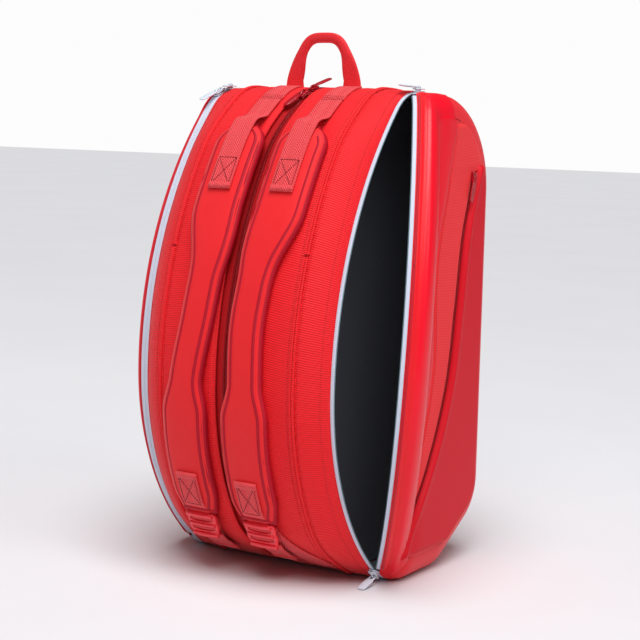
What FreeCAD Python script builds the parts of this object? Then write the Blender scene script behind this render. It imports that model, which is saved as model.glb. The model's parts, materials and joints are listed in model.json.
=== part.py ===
import FreeCAD, Part
import os
from math import sin, cos, tan, asin, sqrt, pi, radians, hypot

# Racket tournament bag, standing on its base. Millimetres, +Z up, +X to the right of
# someone who looks at the shoulder straps, straps on the -Y side.
# Every shell, panel and band follows one closed side outline in the YZ plane. A place on
# the bag is a distance s round that outline, a width x, and a height off the outline.

V = FreeCAD.Vector
os.makedirs("parts", exist_ok=True)

# ---- driving dimensions ----
HEIGHT = 605.0            # base to top seam
STRAP_SIDE_Y = -170.0     # furthest point of the outline on the strap side
FRONT_Y = 163.0           # flat front
BELLY_Z = 250.0           # height of that furthest point
BODY_HALF = 135.0         # middle of the bag to the fabric edge of the long zips
SEAM_X = 97.0             # piped seams, where the dividers are sewn in
TAPE_W = 4.7              # one half of the white zip tape
TAPE_T = 1.5
SHELL_X = 145.0           # rim of a side shell
SIDE_X = 172.0            # flat outside of a side shell
RIM_ROUND = 30.0          # how far the shell's round edge comes in
SHELL_T = 5.0
PANEL_T = 4.0             # foam backed body fabric
LINING_T = 1.4
CROWN = 28.0              # how far the strap side bulges between the zips
FRONT_CROWN = 6.0
CHANNEL_HALF = 13.0       # recessed zip between the two straps
CHANNEL_DEPTH = 7.0
COIL_RISE = 1.6
COIL_HALF = 3.0
OPEN_ANGLE = 34.0         # how far the right flap stands open
FLAP_SWING = 46.0         # greatest opening, the same on both sides
PIVOT_X = 140.0
WEBBING_T = 1.8
PAD_T = 13.0
STRAP_GAP = 1.2           # strap to bag clearance
FIT = 0.6                 # slider to tape clearance

WHITE_SLIDER = (12.0, 17.0, 4.2)   # width, length, height
RED_SLIDER = (11.0, 15.0, 3.8)
WHITE_TAG = (11.0, 32.0, 1.8)      # width, length, thickness
RED_TAG = (9.0, 32.0, 1.8)
BRIDGE_H = 3.4
BRIDGE_REACH = 0.36       # half length of a bridge, as a share of its slider
PIN_H = 1.2               # puller pivot above the slider body
PIN_R = 0.75
EYE_WALL = 1.4            # rails of a tag, each side of its eye
LAY = 0.5                 # webbing and cords lie this far off the panel they are sewn to
RIM_CORD = (1.4, 4.4)     # rim piping, inside and outside edge beyond the shell's rim
POCKET_SLIDER = (96.5, 500.0, 18.9)  # y, z on the flat side, and turn along the pocket edge
LOCK_W = 46.0
LOCK_L = 40.0
LOCK_T = 5.0
HANDLE_HALF = 43.0
HANDLE_Y = 13.0
HANDLE_Z = 618.0
HANDLE_RISE = 54.0
TAB_Z = 609.2
TAB_HALF, TAB_T = 12.5, 3.0

# ---- side outline: tangent arcs and lines ----
UPPER_R = 490.0
LOWER_R = 310.0
HEEL_R = 45.0
SHOULDER_Z = 585.0
FRONT_TOP_R = 125.0
FRONT_SLOPE = radians(30.0)
SLOPE_START_Y = 52.0
SLOPE_R = 60.0
TOE_R = 70.0


def outline_pieces():
    """Lines and arcs from the middle of the base to the strap side, over the top and down the front."""
    upper = (STRAP_SIDE_Y + UPPER_R, BELLY_Z)
    lower = (STRAP_SIDE_Y + LOWER_R, BELLY_Z)
    upper_turn = asin((SHOULDER_Z - BELLY_Z) / UPPER_R)
    crest_r = (HEIGHT - SHOULDER_Z) / (1 - sin(upper_turn))
    crest = (upper[0] - UPPER_R * cos(upper_turn) + crest_r * cos(upper_turn), HEIGHT - crest_r)
    heel_y = lower[0] - sqrt((LOWER_R - HEEL_R) ** 2 - (BELLY_Z - HEEL_R) ** 2)
    heel_turn = asin((BELLY_Z - HEEL_R) / (LOWER_R - HEEL_R))
    slope_y = SLOPE_START_Y - SLOPE_R * tan(FRONT_SLOPE / 2)
    toe_z = (FRONT_Y - SLOPE_START_Y) * tan(FRONT_SLOPE) + TOE_R * tan((pi / 2 - FRONT_SLOPE) / 2)
    return [
        ("line", (0.0, 0.0), (heel_y, 0.0)),
        ("arc", (heel_y, HEEL_R), HEEL_R, -pi / 2, -pi + heel_turn),
        ("arc", lower, LOWER_R, -pi + heel_turn, -pi),
        ("arc", upper, UPPER_R, pi, pi - upper_turn),
        ("arc", crest, crest_r, pi - upper_turn, pi / 2),
        ("line", (crest[0], HEIGHT), (FRONT_Y - FRONT_TOP_R, HEIGHT)),
        ("arc", (FRONT_Y - FRONT_TOP_R, HEIGHT - FRONT_TOP_R), FRONT_TOP_R, pi / 2, 0.0),
        ("line", (FRONT_Y, HEIGHT - FRONT_TOP_R), (FRONT_Y, toe_z)),
        ("arc", (FRONT_Y - TOE_R, toe_z), TOE_R, 0.0, -(pi / 2 - FRONT_SLOPE)),
        ("line", (FRONT_Y - TOE_R + TOE_R * sin(FRONT_SLOPE), toe_z - TOE_R * cos(FRONT_SLOPE)),
         (slope_y + SLOPE_R * sin(FRONT_SLOPE), SLOPE_R * (1 - cos(FRONT_SLOPE)))),
        ("arc", (slope_y, SLOPE_R), SLOPE_R, -pi / 2 + FRONT_SLOPE, -pi / 2),
        ("line", (slope_y, 0.0), (0.0, 0.0)),
    ]


PIECES = outline_pieces()


def piece_length(piece):
    if piece[0] == "line":
        return hypot(piece[2][0] - piece[1][0], piece[2][1] - piece[1][1])
    return abs(piece[4] - piece[3]) * piece[2]


LENGTHS = [piece_length(p) for p in PIECES]
STARTS = [sum(LENGTHS[:i]) for i in range(len(PIECES) + 1)]
ROUND = STARTS[-1]


def at(s):
    """Point (y, z) and outward normal (ny, nz) at distance s round the outline."""
    s = s % ROUND
    i = max(k for k in range(len(PIECES)) if STARTS[k] <= s + 1e-9)
    piece, t = PIECES[i], (s - STARTS[i]) / LENGTHS[i]
    if piece[0] == "line":
        (y0, z0), (y1, z1) = piece[1], piece[2]
        dy, dz = (y1 - y0) / LENGTHS[i], (z1 - z0) / LENGTHS[i]
        return (y0 + (y1 - y0) * t, z0 + (z1 - z0) * t), (-dz, dy)
    (cy, cz), r, a0, a1 = piece[1:]
    a = a0 + (a1 - a0) * t
    return (cy + r * cos(a), cz + r * sin(a)), (cos(a), sin(a))


def grid():
    """Stations that every band shares, so that pieces lying on each other have the same facets."""
    out = []
    for start, length, piece in zip(STARTS, LENGTHS, PIECES):
        step = 60.0 if piece[0] == "line" else min(45.0, piece[2] * radians(12))
        n = max(1, int(length / step + 0.99))
        out += [start + length * k / n for k in range(n)]
    return out


GRID = grid()


def stations(a, b, marks=()):
    """Distances from a to b: both ends, the marks, and every shared station not right beside one."""
    inside = [g + k * ROUND for g in GRID for k in (0, 1) if a + 2 < g + k * ROUND < b - 2]
    return [a] + sorted(inside + list(marks)) + [b]


def smooth(t):
    t = min(1.0, max(0.0, t))
    return t * t * (3 - 2 * t)


# places round the outline
HEEL_S, BELLY_S, CREST_S, TOP_S = STARTS[1], STARTS[3], STARTS[4], STARTS[5]
FRONT_TOP_S, FRONT_S, TOE_S, SLOPE_S = STARTS[6], STARTS[7], STARTS[8], STARTS[9]
LOW_SLIDER_S = HEEL_S + 38.0
HIGH_SLIDER_S = TOP_S - 14.0
ZIP_BOTTOM_S = HEEL_S + 8.0
ZIP_TOP_S = TOP_S + 14.0
STRAP_PANEL_END_S = FRONT_TOP_S + 60.0
PAD_FOOT_S = 176.0
PAD_TOP_S = 645.0
BOX_STITCH_S = 556.0
YOKE_S = 700.0
LOCK_S = 174.0
LEFT_UPPER_S = TOP_S - 4.0
LEFT_LOWER_S = TOP_S - 28.0
TAIL_END_S = 98.0
ANCHOR_S = 72.0


def crown(s, x):
    """How far the body stands off the outline between the two long zips."""
    s = s % ROUND
    strap = CROWN * smooth((s - HEEL_S) / 140) * (1 - 0.86 * smooth((s - CREST_S + 90) / 150))
    front = FRONT_CROWN * smooth((s - FRONT_TOP_S) / 120) * (1 - smooth((s - TOE_S + 80) / 100))
    across = 1 - min(1.0, abs(x) / BODY_HALF) ** 6
    high = strap if s < TOP_S else 0.14 * CROWN * (1 - smooth((s - TOP_S) / 60)) + front
    return high * across


def center_lift(s):
    """Height of the top of the centre zip's coil."""
    return crown(s, 0) + TAPE_T + COIL_RISE - CHANNEL_DEPTH + 2 * FIT


def place(s, x, off):
    (y, z), (ny, nz) = at(s)
    return V(x, y + ny * off, z + nz * off)


def ring(points):
    return Part.makePolygon(points + points[:1])


def band(a, b, edges, low, high, across=3, marks=()):
    """Solid strip from a to b. edges(s) gives its two x limits, low and high its two heights,
    and across is a number of equal divisions or a list of fractions of the width."""
    shares = [k / across for k in range(across + 1)] if isinstance(across, int) else across
    wires = []
    for s in stations(a, b, marks):
        x0, x1 = edges(s)
        xs = [x0 + (x1 - x0) * share for share in shares]
        top = [place(s, x, high(s, x)) for x in xs]
        bottom = [place(s, x, low(s, x)) for x in reversed(xs)]
        wires.append(ring(top + bottom))
    return Part.makeLoft(wires, True, True)


def fixed(a, b):
    return lambda s: (a, b)


def over(height):
    """Height above the crowned body."""
    return lambda s, x: crown(s, x) + height


def loop(x, off):
    """Closed outline at width x, at height off(s) from the side outline."""
    points = [place(s, x, off(s)) for s in GRID]
    return ring(points)


def drum(rings):
    """Solid through closed outlines, each given as (x, off(s))."""
    return Part.makeLoft([loop(x, off) for x, off in rings], True, True)


def plate(x0, x1, inset):
    return drum([(x0, lambda s: -inset), (x1, lambda s: -inset)])


def mirrored(shape):
    return shape.mirror(V(0, 0, 0), V(1, 0, 0))


def both(name_left, name_right, shape):
    """Export a right hand shape and its mirror image."""
    export(name_right, shape)
    export(name_left, mirrored(shape))


def export(name, shape):
    shape.exportStep("parts/" + name + ".step")


# ---- flap hinge: the line through the two sliders ----
LOW_PIVOT = place(LOW_SLIDER_S, PIVOT_X, 0)
HIGH_PIVOT = place(HIGH_SLIDER_S, PIVOT_X, 0)
HINGE = (HIGH_PIVOT - LOW_PIVOT).normalize()
BIG = 900.0


def swing(shape, angle):
    moved = shape.copy()
    moved.rotate(LOW_PIVOT, HINGE, angle)
    return moved


def half_space(turn, shift=0.0):
    """Everything in front of the hinge line, turned about it by turn degrees from the +Y side."""
    block = Part.makeBox(2 * BIG, BIG, 2 * BIG, V(-BIG, shift, -BIG))
    block.rotate(V(0, 0, 0), V(0, 0, 1), turn)
    tilt = FreeCAD.Rotation(V(0, 0, 1), HINGE)
    block.Placement = FreeCAD.Placement(LOW_PIVOT, tilt).multiply(block.Placement)
    return block


def front_part(shape):
    return shape.common(half_space(0, 1.5))


def flap_part(shape):
    """The rear part, cut back so that it clears the front part when it is fully open."""
    return shape.cut(half_space(0, -1.5)).cut(half_space(-(FLAP_SWING + 4), -1.5))


# ---- body of the bag ----
def body_panels():
    panel = band(HEEL_S, STRAP_PANEL_END_S, fixed(CHANNEL_HALF, SEAM_X), over(-PANEL_T), over(0), 4)
    both("strap_panel_left", "strap_panel_right", panel)
    front = band(STRAP_PANEL_END_S, SLOPE_S, fixed(-SEAM_X, SEAM_X), over(-PANEL_T), over(0), 6)
    tongue = band(TOP_S - 4, STRAP_PANEL_END_S, fixed(-CHANNEL_HALF, CHANNEL_HALF), over(-PANEL_T), over(0), 2)
    export("front_panel", front.fuse(tongue).removeSplitter())
    export("base_panel", band(SLOPE_S, ROUND + HEEL_S, fixed(-SEAM_X, SEAM_X), over(-PANEL_T), over(0), 6))


def gusset_rings(drop):
    return [(x, lambda s, x=x: crown(s, x) - drop) for x in (SEAM_X, 108.0, 120.0, 129.0, BODY_HALF)]


def gussets():
    both("gusset_left", "gusset_right", drum(gusset_rings(0)).cut(drum(gusset_rings(PANEL_T))))


def seam_pipings():
    """A pair of cords on each long seam, flattened into one low double rib."""
    rib = band(HEEL_S + 20, TOE_S, fixed(SEAM_X - 4, SEAM_X + 3), over(LAY), over(2.2), 2)
    export("seam_pipings", Part.makeCompound([rib, mirrored(rib)]))


def center_zip():
    """Two tapes with a closed coil between them, at the bottom of the channel between the straps."""
    def face(s, x):
        rise = COIL_RISE if abs(x) < COIL_HALF + 0.01 else 0.0
        return crown(s, x) - CHANNEL_DEPTH + TAPE_T + rise

    step = COIL_HALF / CHANNEL_HALF / 2
    shares = [0, 0.5 - step - 0.02, 0.5 - step, 0.5 + step, 0.5 + step + 0.02, 1]
    tapes = band(HEEL_S, TOP_S - 4, fixed(-CHANNEL_HALF, CHANNEL_HALF), over(-CHANNEL_DEPTH), face, shares)
    export("center_zip", tapes)


def dividers_and_linings():
    both("divider_left", "divider_right", plate(SEAM_X - 6, SEAM_X - 1, PANEL_T + 3))
    skin = drum([(x, lambda s, f=off: f(s) - 0.4) for x, off in gusset_rings(PANEL_T)])
    core = drum([(x, lambda s, f=off: f(s) - 0.4 - LINING_T) for x, off in gusset_rings(PANEL_T)])
    sheet = plate(SEAM_X, SEAM_X + LINING_T, PANEL_T + 4)
    lining = skin.cut(core).fuse(sheet).removeSplitter()
    export("thermal_linings", Part.makeCompound([lining, mirrored(lining)]))


# ---- long zips ----
def tape(a, b, x0, x1):
    return band(a, b, fixed(x0, x1), lambda s, x: -TAPE_T, lambda s, x: 0.0, 1)


def long_zips():
    """The zips run up the strap side and end at the top; the flap's half swings away with it."""
    open_side = tape(LOW_SLIDER_S, HIGH_SLIDER_S, BODY_HALF, BODY_HALF + TAPE_W)
    top_end = tape(HIGH_SLIDER_S, ZIP_TOP_S, BODY_HALF, SHELL_X)
    bottom_end = tape(ZIP_BOTTOM_S, LOW_SLIDER_S, BODY_HALF, SHELL_X)
    both("body_zip_left", "body_zip_right", open_side.fuse([top_end, bottom_end]).removeSplitter())
    flap_tape = tape(LOW_SLIDER_S + 8, HIGH_SLIDER_S - 8, SHELL_X - TAPE_W, SHELL_X)
    export("flap_zip_left", mirrored(flap_tape))
    export("flap_zip_right", swing(flap_tape, OPEN_ANGLE))


def shell_bindings():
    """Round the front and the base each shell is sewn to its gusset under a binding strip."""
    strip = band(ZIP_TOP_S, ROUND + ZIP_BOTTOM_S, fixed(BODY_HALF, SHELL_X),
                 lambda s, x: -PANEL_T, lambda s, x: 0.0, 1)
    export("shell_bindings", Part.makeCompound([strip, mirrored(strip)]))


# ---- side shells ----
def shell_rings(x_rim, deep, drop):
    rings = []
    for degrees in (0, 28, 52, 72, 90):
        a = radians(degrees)
        rings.append((x_rim + deep * sin(a), lambda s, a=a: -drop - (RIM_ROUND - drop) * (1 - cos(a))))
    return rings


def side_shells():
    deep = SIDE_X - SHELL_X
    tray = drum(shell_rings(SHELL_X, deep, 0)).cut(drum(shell_rings(SHELL_X - 1, deep - SHELL_T + 1, SHELL_T)))
    both("side_shell_left", "side_shell_right", front_part(tray))
    rear = flap_part(tray)
    export("rear_flap_left", mirrored(rear))
    export("rear_flap_right", swing(rear, OPEN_ANGLE))


def rim_pipings():
    cord = band(LOW_SLIDER_S + 12, HIGH_SLIDER_S - 12, fixed(SHELL_X + RIM_CORD[0], SHELL_X + RIM_CORD[1]),
                lambda s, x: 0.0, lambda s, x: 2.4, 1)
    export("rim_piping_left", mirrored(cord))
    export("rim_piping_right", swing(cord, OPEN_ANGLE))


# edges on the flat side, seen in the YZ plane
STRIP_EDGE = [V(0, 58, 566), V(0, 38, 490), V(0, 14, 390), V(0, 14, 260), V(0, -20, 150), V(0, -92, 36)]
POCKET_EDGE = [V(0, 112, 512), V(0, 84, 430), V(0, 70, 340), V(0, 50, 235), V(0, 4, 135), V(0, -76, 24)]
SIDE_INSET = 30.0
PANEL_RISE = 5.0
POCKET_RISE = 8.0
POCKET_WALL = 2.0


def cutter(edge, x0, x1, shift=0.0):
    """Block on the front side of a curved edge."""
    curve = Part.BSplineCurve()
    curve.interpolate([p + V(x0, shift, 0) for p in edge])
    first, last = edge[0] + V(x0, shift, 0), edge[-1] + V(x0, shift, 0)
    up, down = V(x0, first.y, BIG), V(x0, last.y, -BIG)
    far_up, far_down = V(x0, BIG, BIG), V(x0, BIG, -BIG)
    path = [curve.toShape(), Part.makeLine(last, down), Part.makeLine(down, far_down),
            Part.makeLine(far_down, far_up), Part.makeLine(far_up, up), Part.makeLine(up, first)]
    return Part.Face(Part.Wire(path)).extrude(V(x1 - x0, 0, 0))


def side_dressing():
    """Raised moulded panel, twill strip, zip and pocket on the outside of each shell."""
    x0 = SIDE_X
    raised = plate(x0, x0 + PANEL_RISE, SIDE_INSET + 3).cut(cutter(STRIP_EDGE, x0 - 1, x0 + 20, -4))
    raised = flap_part(raised)
    export("moulded_panel_left", mirrored(raised))
    export("moulded_panel_right", swing(raised, OPEN_ANGLE))
    sheet = front_part(plate(x0, x0 + 1.6, SIDE_INSET + 3))
    strip = sheet.common(cutter(STRIP_EDGE, x0 - 1, x0 + 20)).cut(cutter(POCKET_EDGE, x0 - 1, x0 + 20, -8))
    both("twill_strip_left", "twill_strip_right", strip)
    chain = sheet.common(cutter(POCKET_EDGE, x0 - 1, x0 + 20, -8)).cut(cutter(POCKET_EDGE, x0 - 1, x0 + 20))
    both("pocket_zip_left", "pocket_zip_right", chain)
    block = front_part(plate(x0, x0 + POCKET_RISE, SIDE_INSET)).common(cutter(POCKET_EDGE, x0 - 1, x0 + 20))
    hollow = front_part(plate(x0 - 1, x0 + POCKET_RISE - POCKET_WALL, SIDE_INSET + 6))
    hollow = hollow.common(cutter(POCKET_EDGE, x0 - 2, x0 + 20, 6))
    both("side_pocket_left", "side_pocket_right", block.cut(hollow))


# ---- zip sliders and pullers ----
def frame_at(s, x, off):
    """Placement with local X along the bag's X, local Y up the outline and local Z outward."""
    ny, nz = at(s)[1]
    turn = FreeCAD.Rotation(V(1, 0, 0), V(0, nz, -ny), V(0, ny, nz), "ZXY")
    return FreeCAD.Placement(place(s, x, off), turn)


def slider(width, length, high):
    """Slider body with the bridge that holds its puller."""
    body = Part.makeBox(width, length, high, V(-width / 2, -length / 2, 0))
    body = body.makeFillet(high * 0.35, [e for e in body.Edges if abs(e.CenterOfMass.z - high) < 0.01])
    bridge = Part.makeBox(2.4, 2 * length * BRIDGE_REACH, BRIDGE_H, V(-1.2, -length * BRIDGE_REACH, high - 0.2))
    eye = Part.makeBox(4, length * 0.44, BRIDGE_H - 1.3, V(-2, -length * 0.22, high + 0.1))
    return body.fuse(bridge).cut(eye).removeSplitter()


def puller(width, length, thick, bridge_reach):
    """Flat tag that lies along local -Y; the round pin across its eye runs through the bridge."""
    tag = Part.makeBox(width, length + PIN_R, thick, V(-width / 2, -length, -thick / 2))
    tag = tag.makeFillet(width * 0.3, [e for e in tag.Edges if abs(e.CenterOfMass.z) < 0.01])
    eye_end = bridge_reach + FIT
    eye = Part.makeBox(width - 2 * EYE_WALL, eye_end + 2 * PIN_R, thick + 1,
                       V(-width / 2 + EYE_WALL, -eye_end, -thick / 2 - 0.5))
    pin = Part.makeCylinder(PIN_R, width - 2, V(1 - width / 2, 0, 0), V(1, 0, 0))
    return tag.cut(eye).fuse(pin).removeSplitter()


def put(shape, placement, lift=0.0, turn=0.0, spin=0.0):
    """Place a shape made in slider coordinates: lifted, tipped about X and turned about Z."""
    moved = shape.copy()
    facing = FreeCAD.Rotation(V(0, 0, 1), spin).multiply(FreeCAD.Rotation(V(1, 0, 0), turn))
    moved.Placement = placement.multiply(FreeCAD.Placement(V(0, 0, lift), facing))
    return moved


def side_frame(y, z, turn, x):
    """Placement on the flat side of a shell, local Y turned from +Z towards +Y."""
    up = V(0, sin(radians(turn)), cos(radians(turn)))
    out = V(1 if x > 0 else -1, 0, 0)
    return FreeCAD.Placement(V(x, y, z), FreeCAD.Rotation(up.cross(out), up, out, "ZXY"))


def slider_rows():
    """Name, place, slider size, tag size, and how the tag is tipped and turned, for each slider.
    On the closed left side the lower slider has been pulled all the way up to the upper one."""
    return [
        ("right_upper", frame_at(HIGH_SLIDER_S + 15, PIVOT_X, FIT), WHITE_SLIDER, WHITE_TAG, -4, -14),
        ("right_lower", frame_at(LOW_SLIDER_S, PIVOT_X, 1.5 * FIT), WHITE_SLIDER, WHITE_TAG, -124, 0),
        ("left_upper", frame_at(LEFT_UPPER_S, -PIVOT_X, FIT), WHITE_SLIDER, WHITE_TAG, 1, 25),
        ("left_lower", frame_at(LEFT_LOWER_S, -PIVOT_X, FIT), WHITE_SLIDER, WHITE_TAG, 1, -14),
        ("center_upper", frame_at(TOP_S - 18, 0, center_lift(TOP_S - 18)), RED_SLIDER, RED_TAG, -176, -15),
        ("center_lower", frame_at(TOP_S - 40, 0, center_lift(TOP_S - 40)), RED_SLIDER, RED_TAG, -3, -16),
        ("right_pocket", side_frame(*POCKET_SLIDER, SIDE_X + 1.6 + FIT), RED_SLIDER, RED_TAG, 0, 0),
        ("left_pocket", side_frame(*POCKET_SLIDER, -SIDE_X - 1.6 - FIT), RED_SLIDER, RED_TAG, 0, 0),
    ]


def zip_hardware():
    for name, where, body, tag, turn, spin in slider_rows():
        export(name + "_slider", put(slider(*body), where))
        drawn = puller(*tag, body[1] * BRIDGE_REACH)
        export(name + "_puller", put(drawn, where, body[2] + PIN_H, turn, spin))


# ---- shoulder straps ----
def strap_middle(side):
    """Middle line of a strap: the two straps lean the same way a little."""
    def middle(s):
        apart = 44 - 8 * smooth((s - 320) / 100) + 9 * smooth((s - 470) / 70)
        return side * apart - 11 + 19 * smooth((s - 230) / 360)
    return middle


def strap_half_width(s):
    """Wide at the shoulder, narrow at the waist, wide again above the buckle."""
    shoulder = 11 * smooth((s - 450) / 80)
    foot = 9 * (1 - smooth((s - 300) / 40))
    rounded_top = sqrt(max(0.0, 1 - max(0.0, (s - PAD_TOP_S + 30) / 30) ** 2))
    taper = 7 * (1 - smooth((s - PAD_FOOT_S) / 30))
    return (23 + shoulder + foot) * max(0.45, rounded_top) - taper


def strap(side):
    middle = strap_middle(side)
    name = "right" if side > 0 else "left"

    def about(half):
        return lambda s: (middle(s) - half, middle(s) + half)

    def pad_edges(s):
        return middle(s) - strap_half_width(s), middle(s) + strap_half_width(s)

    def on_pad(lift):
        return lambda s, x: crown(s, x) + STRAP_GAP + lift + PAD_T * (1 - smooth((s - PAD_TOP_S - 1) / 22))

    pad = band(PAD_FOOT_S, PAD_TOP_S, pad_edges, over(STRAP_GAP), over(STRAP_GAP + PAD_T), 4)
    export("strap_pad_" + name, pad)
    drop = [PAD_TOP_S + 1, PAD_TOP_S + 9, PAD_TOP_S + 16, PAD_TOP_S + 23]
    top = band(BOX_STITCH_S, YOKE_S - 2, about(16), on_pad(LAY), on_pad(LAY + WEBBING_T), 2, drop)
    export("strap_top_webbing_" + name, top)
    export("strap_yoke_" + name, band(YOKE_S, TOP_S - 13, about(16), over(LAY), over(LAY + WEBBING_T), 2))

    # ladder lock: three bars across two rails, tipped a little off the bag
    lock = Part.makeBox(LOCK_W, LOCK_L, LOCK_T, V(-LOCK_W / 2, -LOCK_L, 0))
    lock = lock.makeFillet(2.0, [e for e in lock.Edges if e.Length < LOCK_T + 0.1])
    for k in (0, 1):
        slot = Part.makeBox(LOCK_W - 9, 10.5, LOCK_T + 2, V(-LOCK_W / 2 + 4.5, -16.0 - k * 17.5, -1))
        lock = lock.cut(slot)
    where = frame_at(LOCK_S, middle(LOCK_S), crown(LOCK_S, middle(LOCK_S)) + STRAP_GAP + 4)
    export("ladder_lock_" + name, put(lock, where, 0, -3))

    def tail_low(s, x):
        return crown(s, x) + STRAP_GAP + 5.2 - 1.5 * smooth((LOCK_S - LOCK_L - s) / 20)

    def tail_high(s, x):
        return tail_low(s, x) + WEBBING_T

    tail = band(TAIL_END_S, LOCK_S - LOCK_L - 2, about(17), tail_low, tail_high, 2)
    export("webbing_tail_" + name, tail)

    # fixed webbing from under the lock out to the seam of the bag
    def fixed_edges(s):
        reach = smooth((LOCK_S - 8 - s) / (LOCK_S - 8 - ANCHOR_S))
        start, goal = middle(LOCK_S), side * (SEAM_X - 23)
        mid = start + (goal - start) * reach
        return mid - 17, mid + 17

    lower = band(ANCHOR_S, LOCK_S - 8, fixed_edges, over(LAY), over(LAY + WEBBING_T), 2)
    export("lower_webbing_" + name, lower)


# ---- carry handle ----
def top_handle():
    """Webbing loop folded to a round grip in the middle, standing on the top seam."""
    wires = []
    steps = 18
    for k in range(steps + 1):
        t = -1 + 2 * k / steps
        grip = smooth((1 - abs(t)) / 0.45)
        x = HANDLE_HALF * t / abs(t) * abs(t) ** 0.55 if t else 0.0
        z = HANDLE_Z + HANDLE_RISE * (1 - abs(t) ** 2.6)
        slope = V(1, 0, 0) if abs(t) < 0.05 else V(1 - abs(t) ** 1.5, 0, -1.6 * t).normalize()
        out = V(-slope.z, 0, slope.x)
        wide, thick = 12.5 - 6.0 * grip, 1.4 + 2.0 * grip
        corners = [(-1, -1), (1, -1), (1, 1), (-1, 1)]
        wires.append(ring([V(x, HANDLE_Y + b * thick, z) + out * (a * wide) for a, b in corners]))
    export("top_handle", Part.makeLoft(wires, True, True))
    high = HANDLE_Z - 2 * FIT - TAB_Z
    tabs = [Part.makeBox(2 * TAB_HALF, TAB_T, high, V(x - TAB_HALF, HANDLE_Y - TAB_T / 2, TAB_Z))
            for x in (-HANDLE_HALF, HANDLE_HALF)]
    export("handle_tabs", Part.makeCompound(tabs))


for step in (body_panels, gussets, seam_pipings, center_zip, dividers_and_linings, long_zips,
             side_shells, rim_pipings, shell_bindings, side_dressing, zip_hardware, top_handle):
    step()
for side in (-1, 1):
    strap(side)
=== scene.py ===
import json
from math import asin, cos, exp, hypot, pi, radians, sin, sqrt, tan

import bmesh
import bpy
from mathutils import Matrix, Vector, noise

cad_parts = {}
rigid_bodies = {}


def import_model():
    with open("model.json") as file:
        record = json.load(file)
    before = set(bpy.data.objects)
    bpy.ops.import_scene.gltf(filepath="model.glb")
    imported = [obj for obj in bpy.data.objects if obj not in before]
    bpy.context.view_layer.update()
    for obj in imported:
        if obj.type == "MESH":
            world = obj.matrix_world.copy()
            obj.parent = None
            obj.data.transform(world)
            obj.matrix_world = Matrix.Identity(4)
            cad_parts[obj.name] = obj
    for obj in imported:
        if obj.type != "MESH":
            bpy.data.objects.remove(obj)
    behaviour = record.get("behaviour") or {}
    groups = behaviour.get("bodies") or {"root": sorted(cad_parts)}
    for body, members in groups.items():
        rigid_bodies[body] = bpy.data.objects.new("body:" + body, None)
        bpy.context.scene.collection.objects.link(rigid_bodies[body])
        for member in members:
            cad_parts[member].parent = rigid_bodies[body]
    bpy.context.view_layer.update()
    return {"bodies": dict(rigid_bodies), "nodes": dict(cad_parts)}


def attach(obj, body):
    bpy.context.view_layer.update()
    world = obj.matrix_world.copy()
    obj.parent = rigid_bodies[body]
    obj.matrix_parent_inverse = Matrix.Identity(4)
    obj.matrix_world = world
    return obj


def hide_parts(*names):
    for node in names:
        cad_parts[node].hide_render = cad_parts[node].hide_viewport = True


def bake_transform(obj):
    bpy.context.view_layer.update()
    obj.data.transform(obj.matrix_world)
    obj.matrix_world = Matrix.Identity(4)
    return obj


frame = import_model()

# Racket tournament bag. Shapes are worked out in millimetres in the frame's axes, +X to the
# right of someone facing the straps, straps on -Y, +Z up, and MM takes them to metres.
# As in the design, a place is a distance s round the side outline, a width x and a height.
MM = 0.001

# ---- driving dimensions, the same as the design's ----
HEIGHT, STRAP_SIDE_Y, FRONT_Y, BELLY_Z = 605.0, -170.0, 163.0, 250.0
UPPER_R, LOWER_R, HEEL_R, SHOULDER_Z = 490.0, 310.0, 45.0, 585.0
FRONT_TOP_R, FRONT_SLOPE, SLOPE_START_Y, SLOPE_R, TOE_R = 125.0, radians(30), 52.0, 60.0, 70.0
BODY_HALF, SEAM_X, TAPE_W, SHELL_X, SIDE_X = 135.0, 97.0, 4.7, 145.0, 172.0
RIM_ROUND, PANEL_T, SHELL_T, CROWN, FRONT_CROWN = 30.0, 4.0, 5.0, 28.0, 6.0
CHANNEL_HALF, CHANNEL_DEPTH = 13.0, 7.0
OPEN_ANGLE, PIVOT_X = radians(34), 140.0
WEBBING_T, PAD_T, STRAP_GAP, LAY, FIT = 1.8, 13.0, 1.2, 0.5, 0.6
PANEL_RISE, POCKET_RISE, SIDE_INSET = 5.0, 8.0, 30.0
HANDLE_HALF, HANDLE_Y, HANDLE_Z, HANDLE_RISE = 43.0, 13.0, 618.0, 54.0


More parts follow.
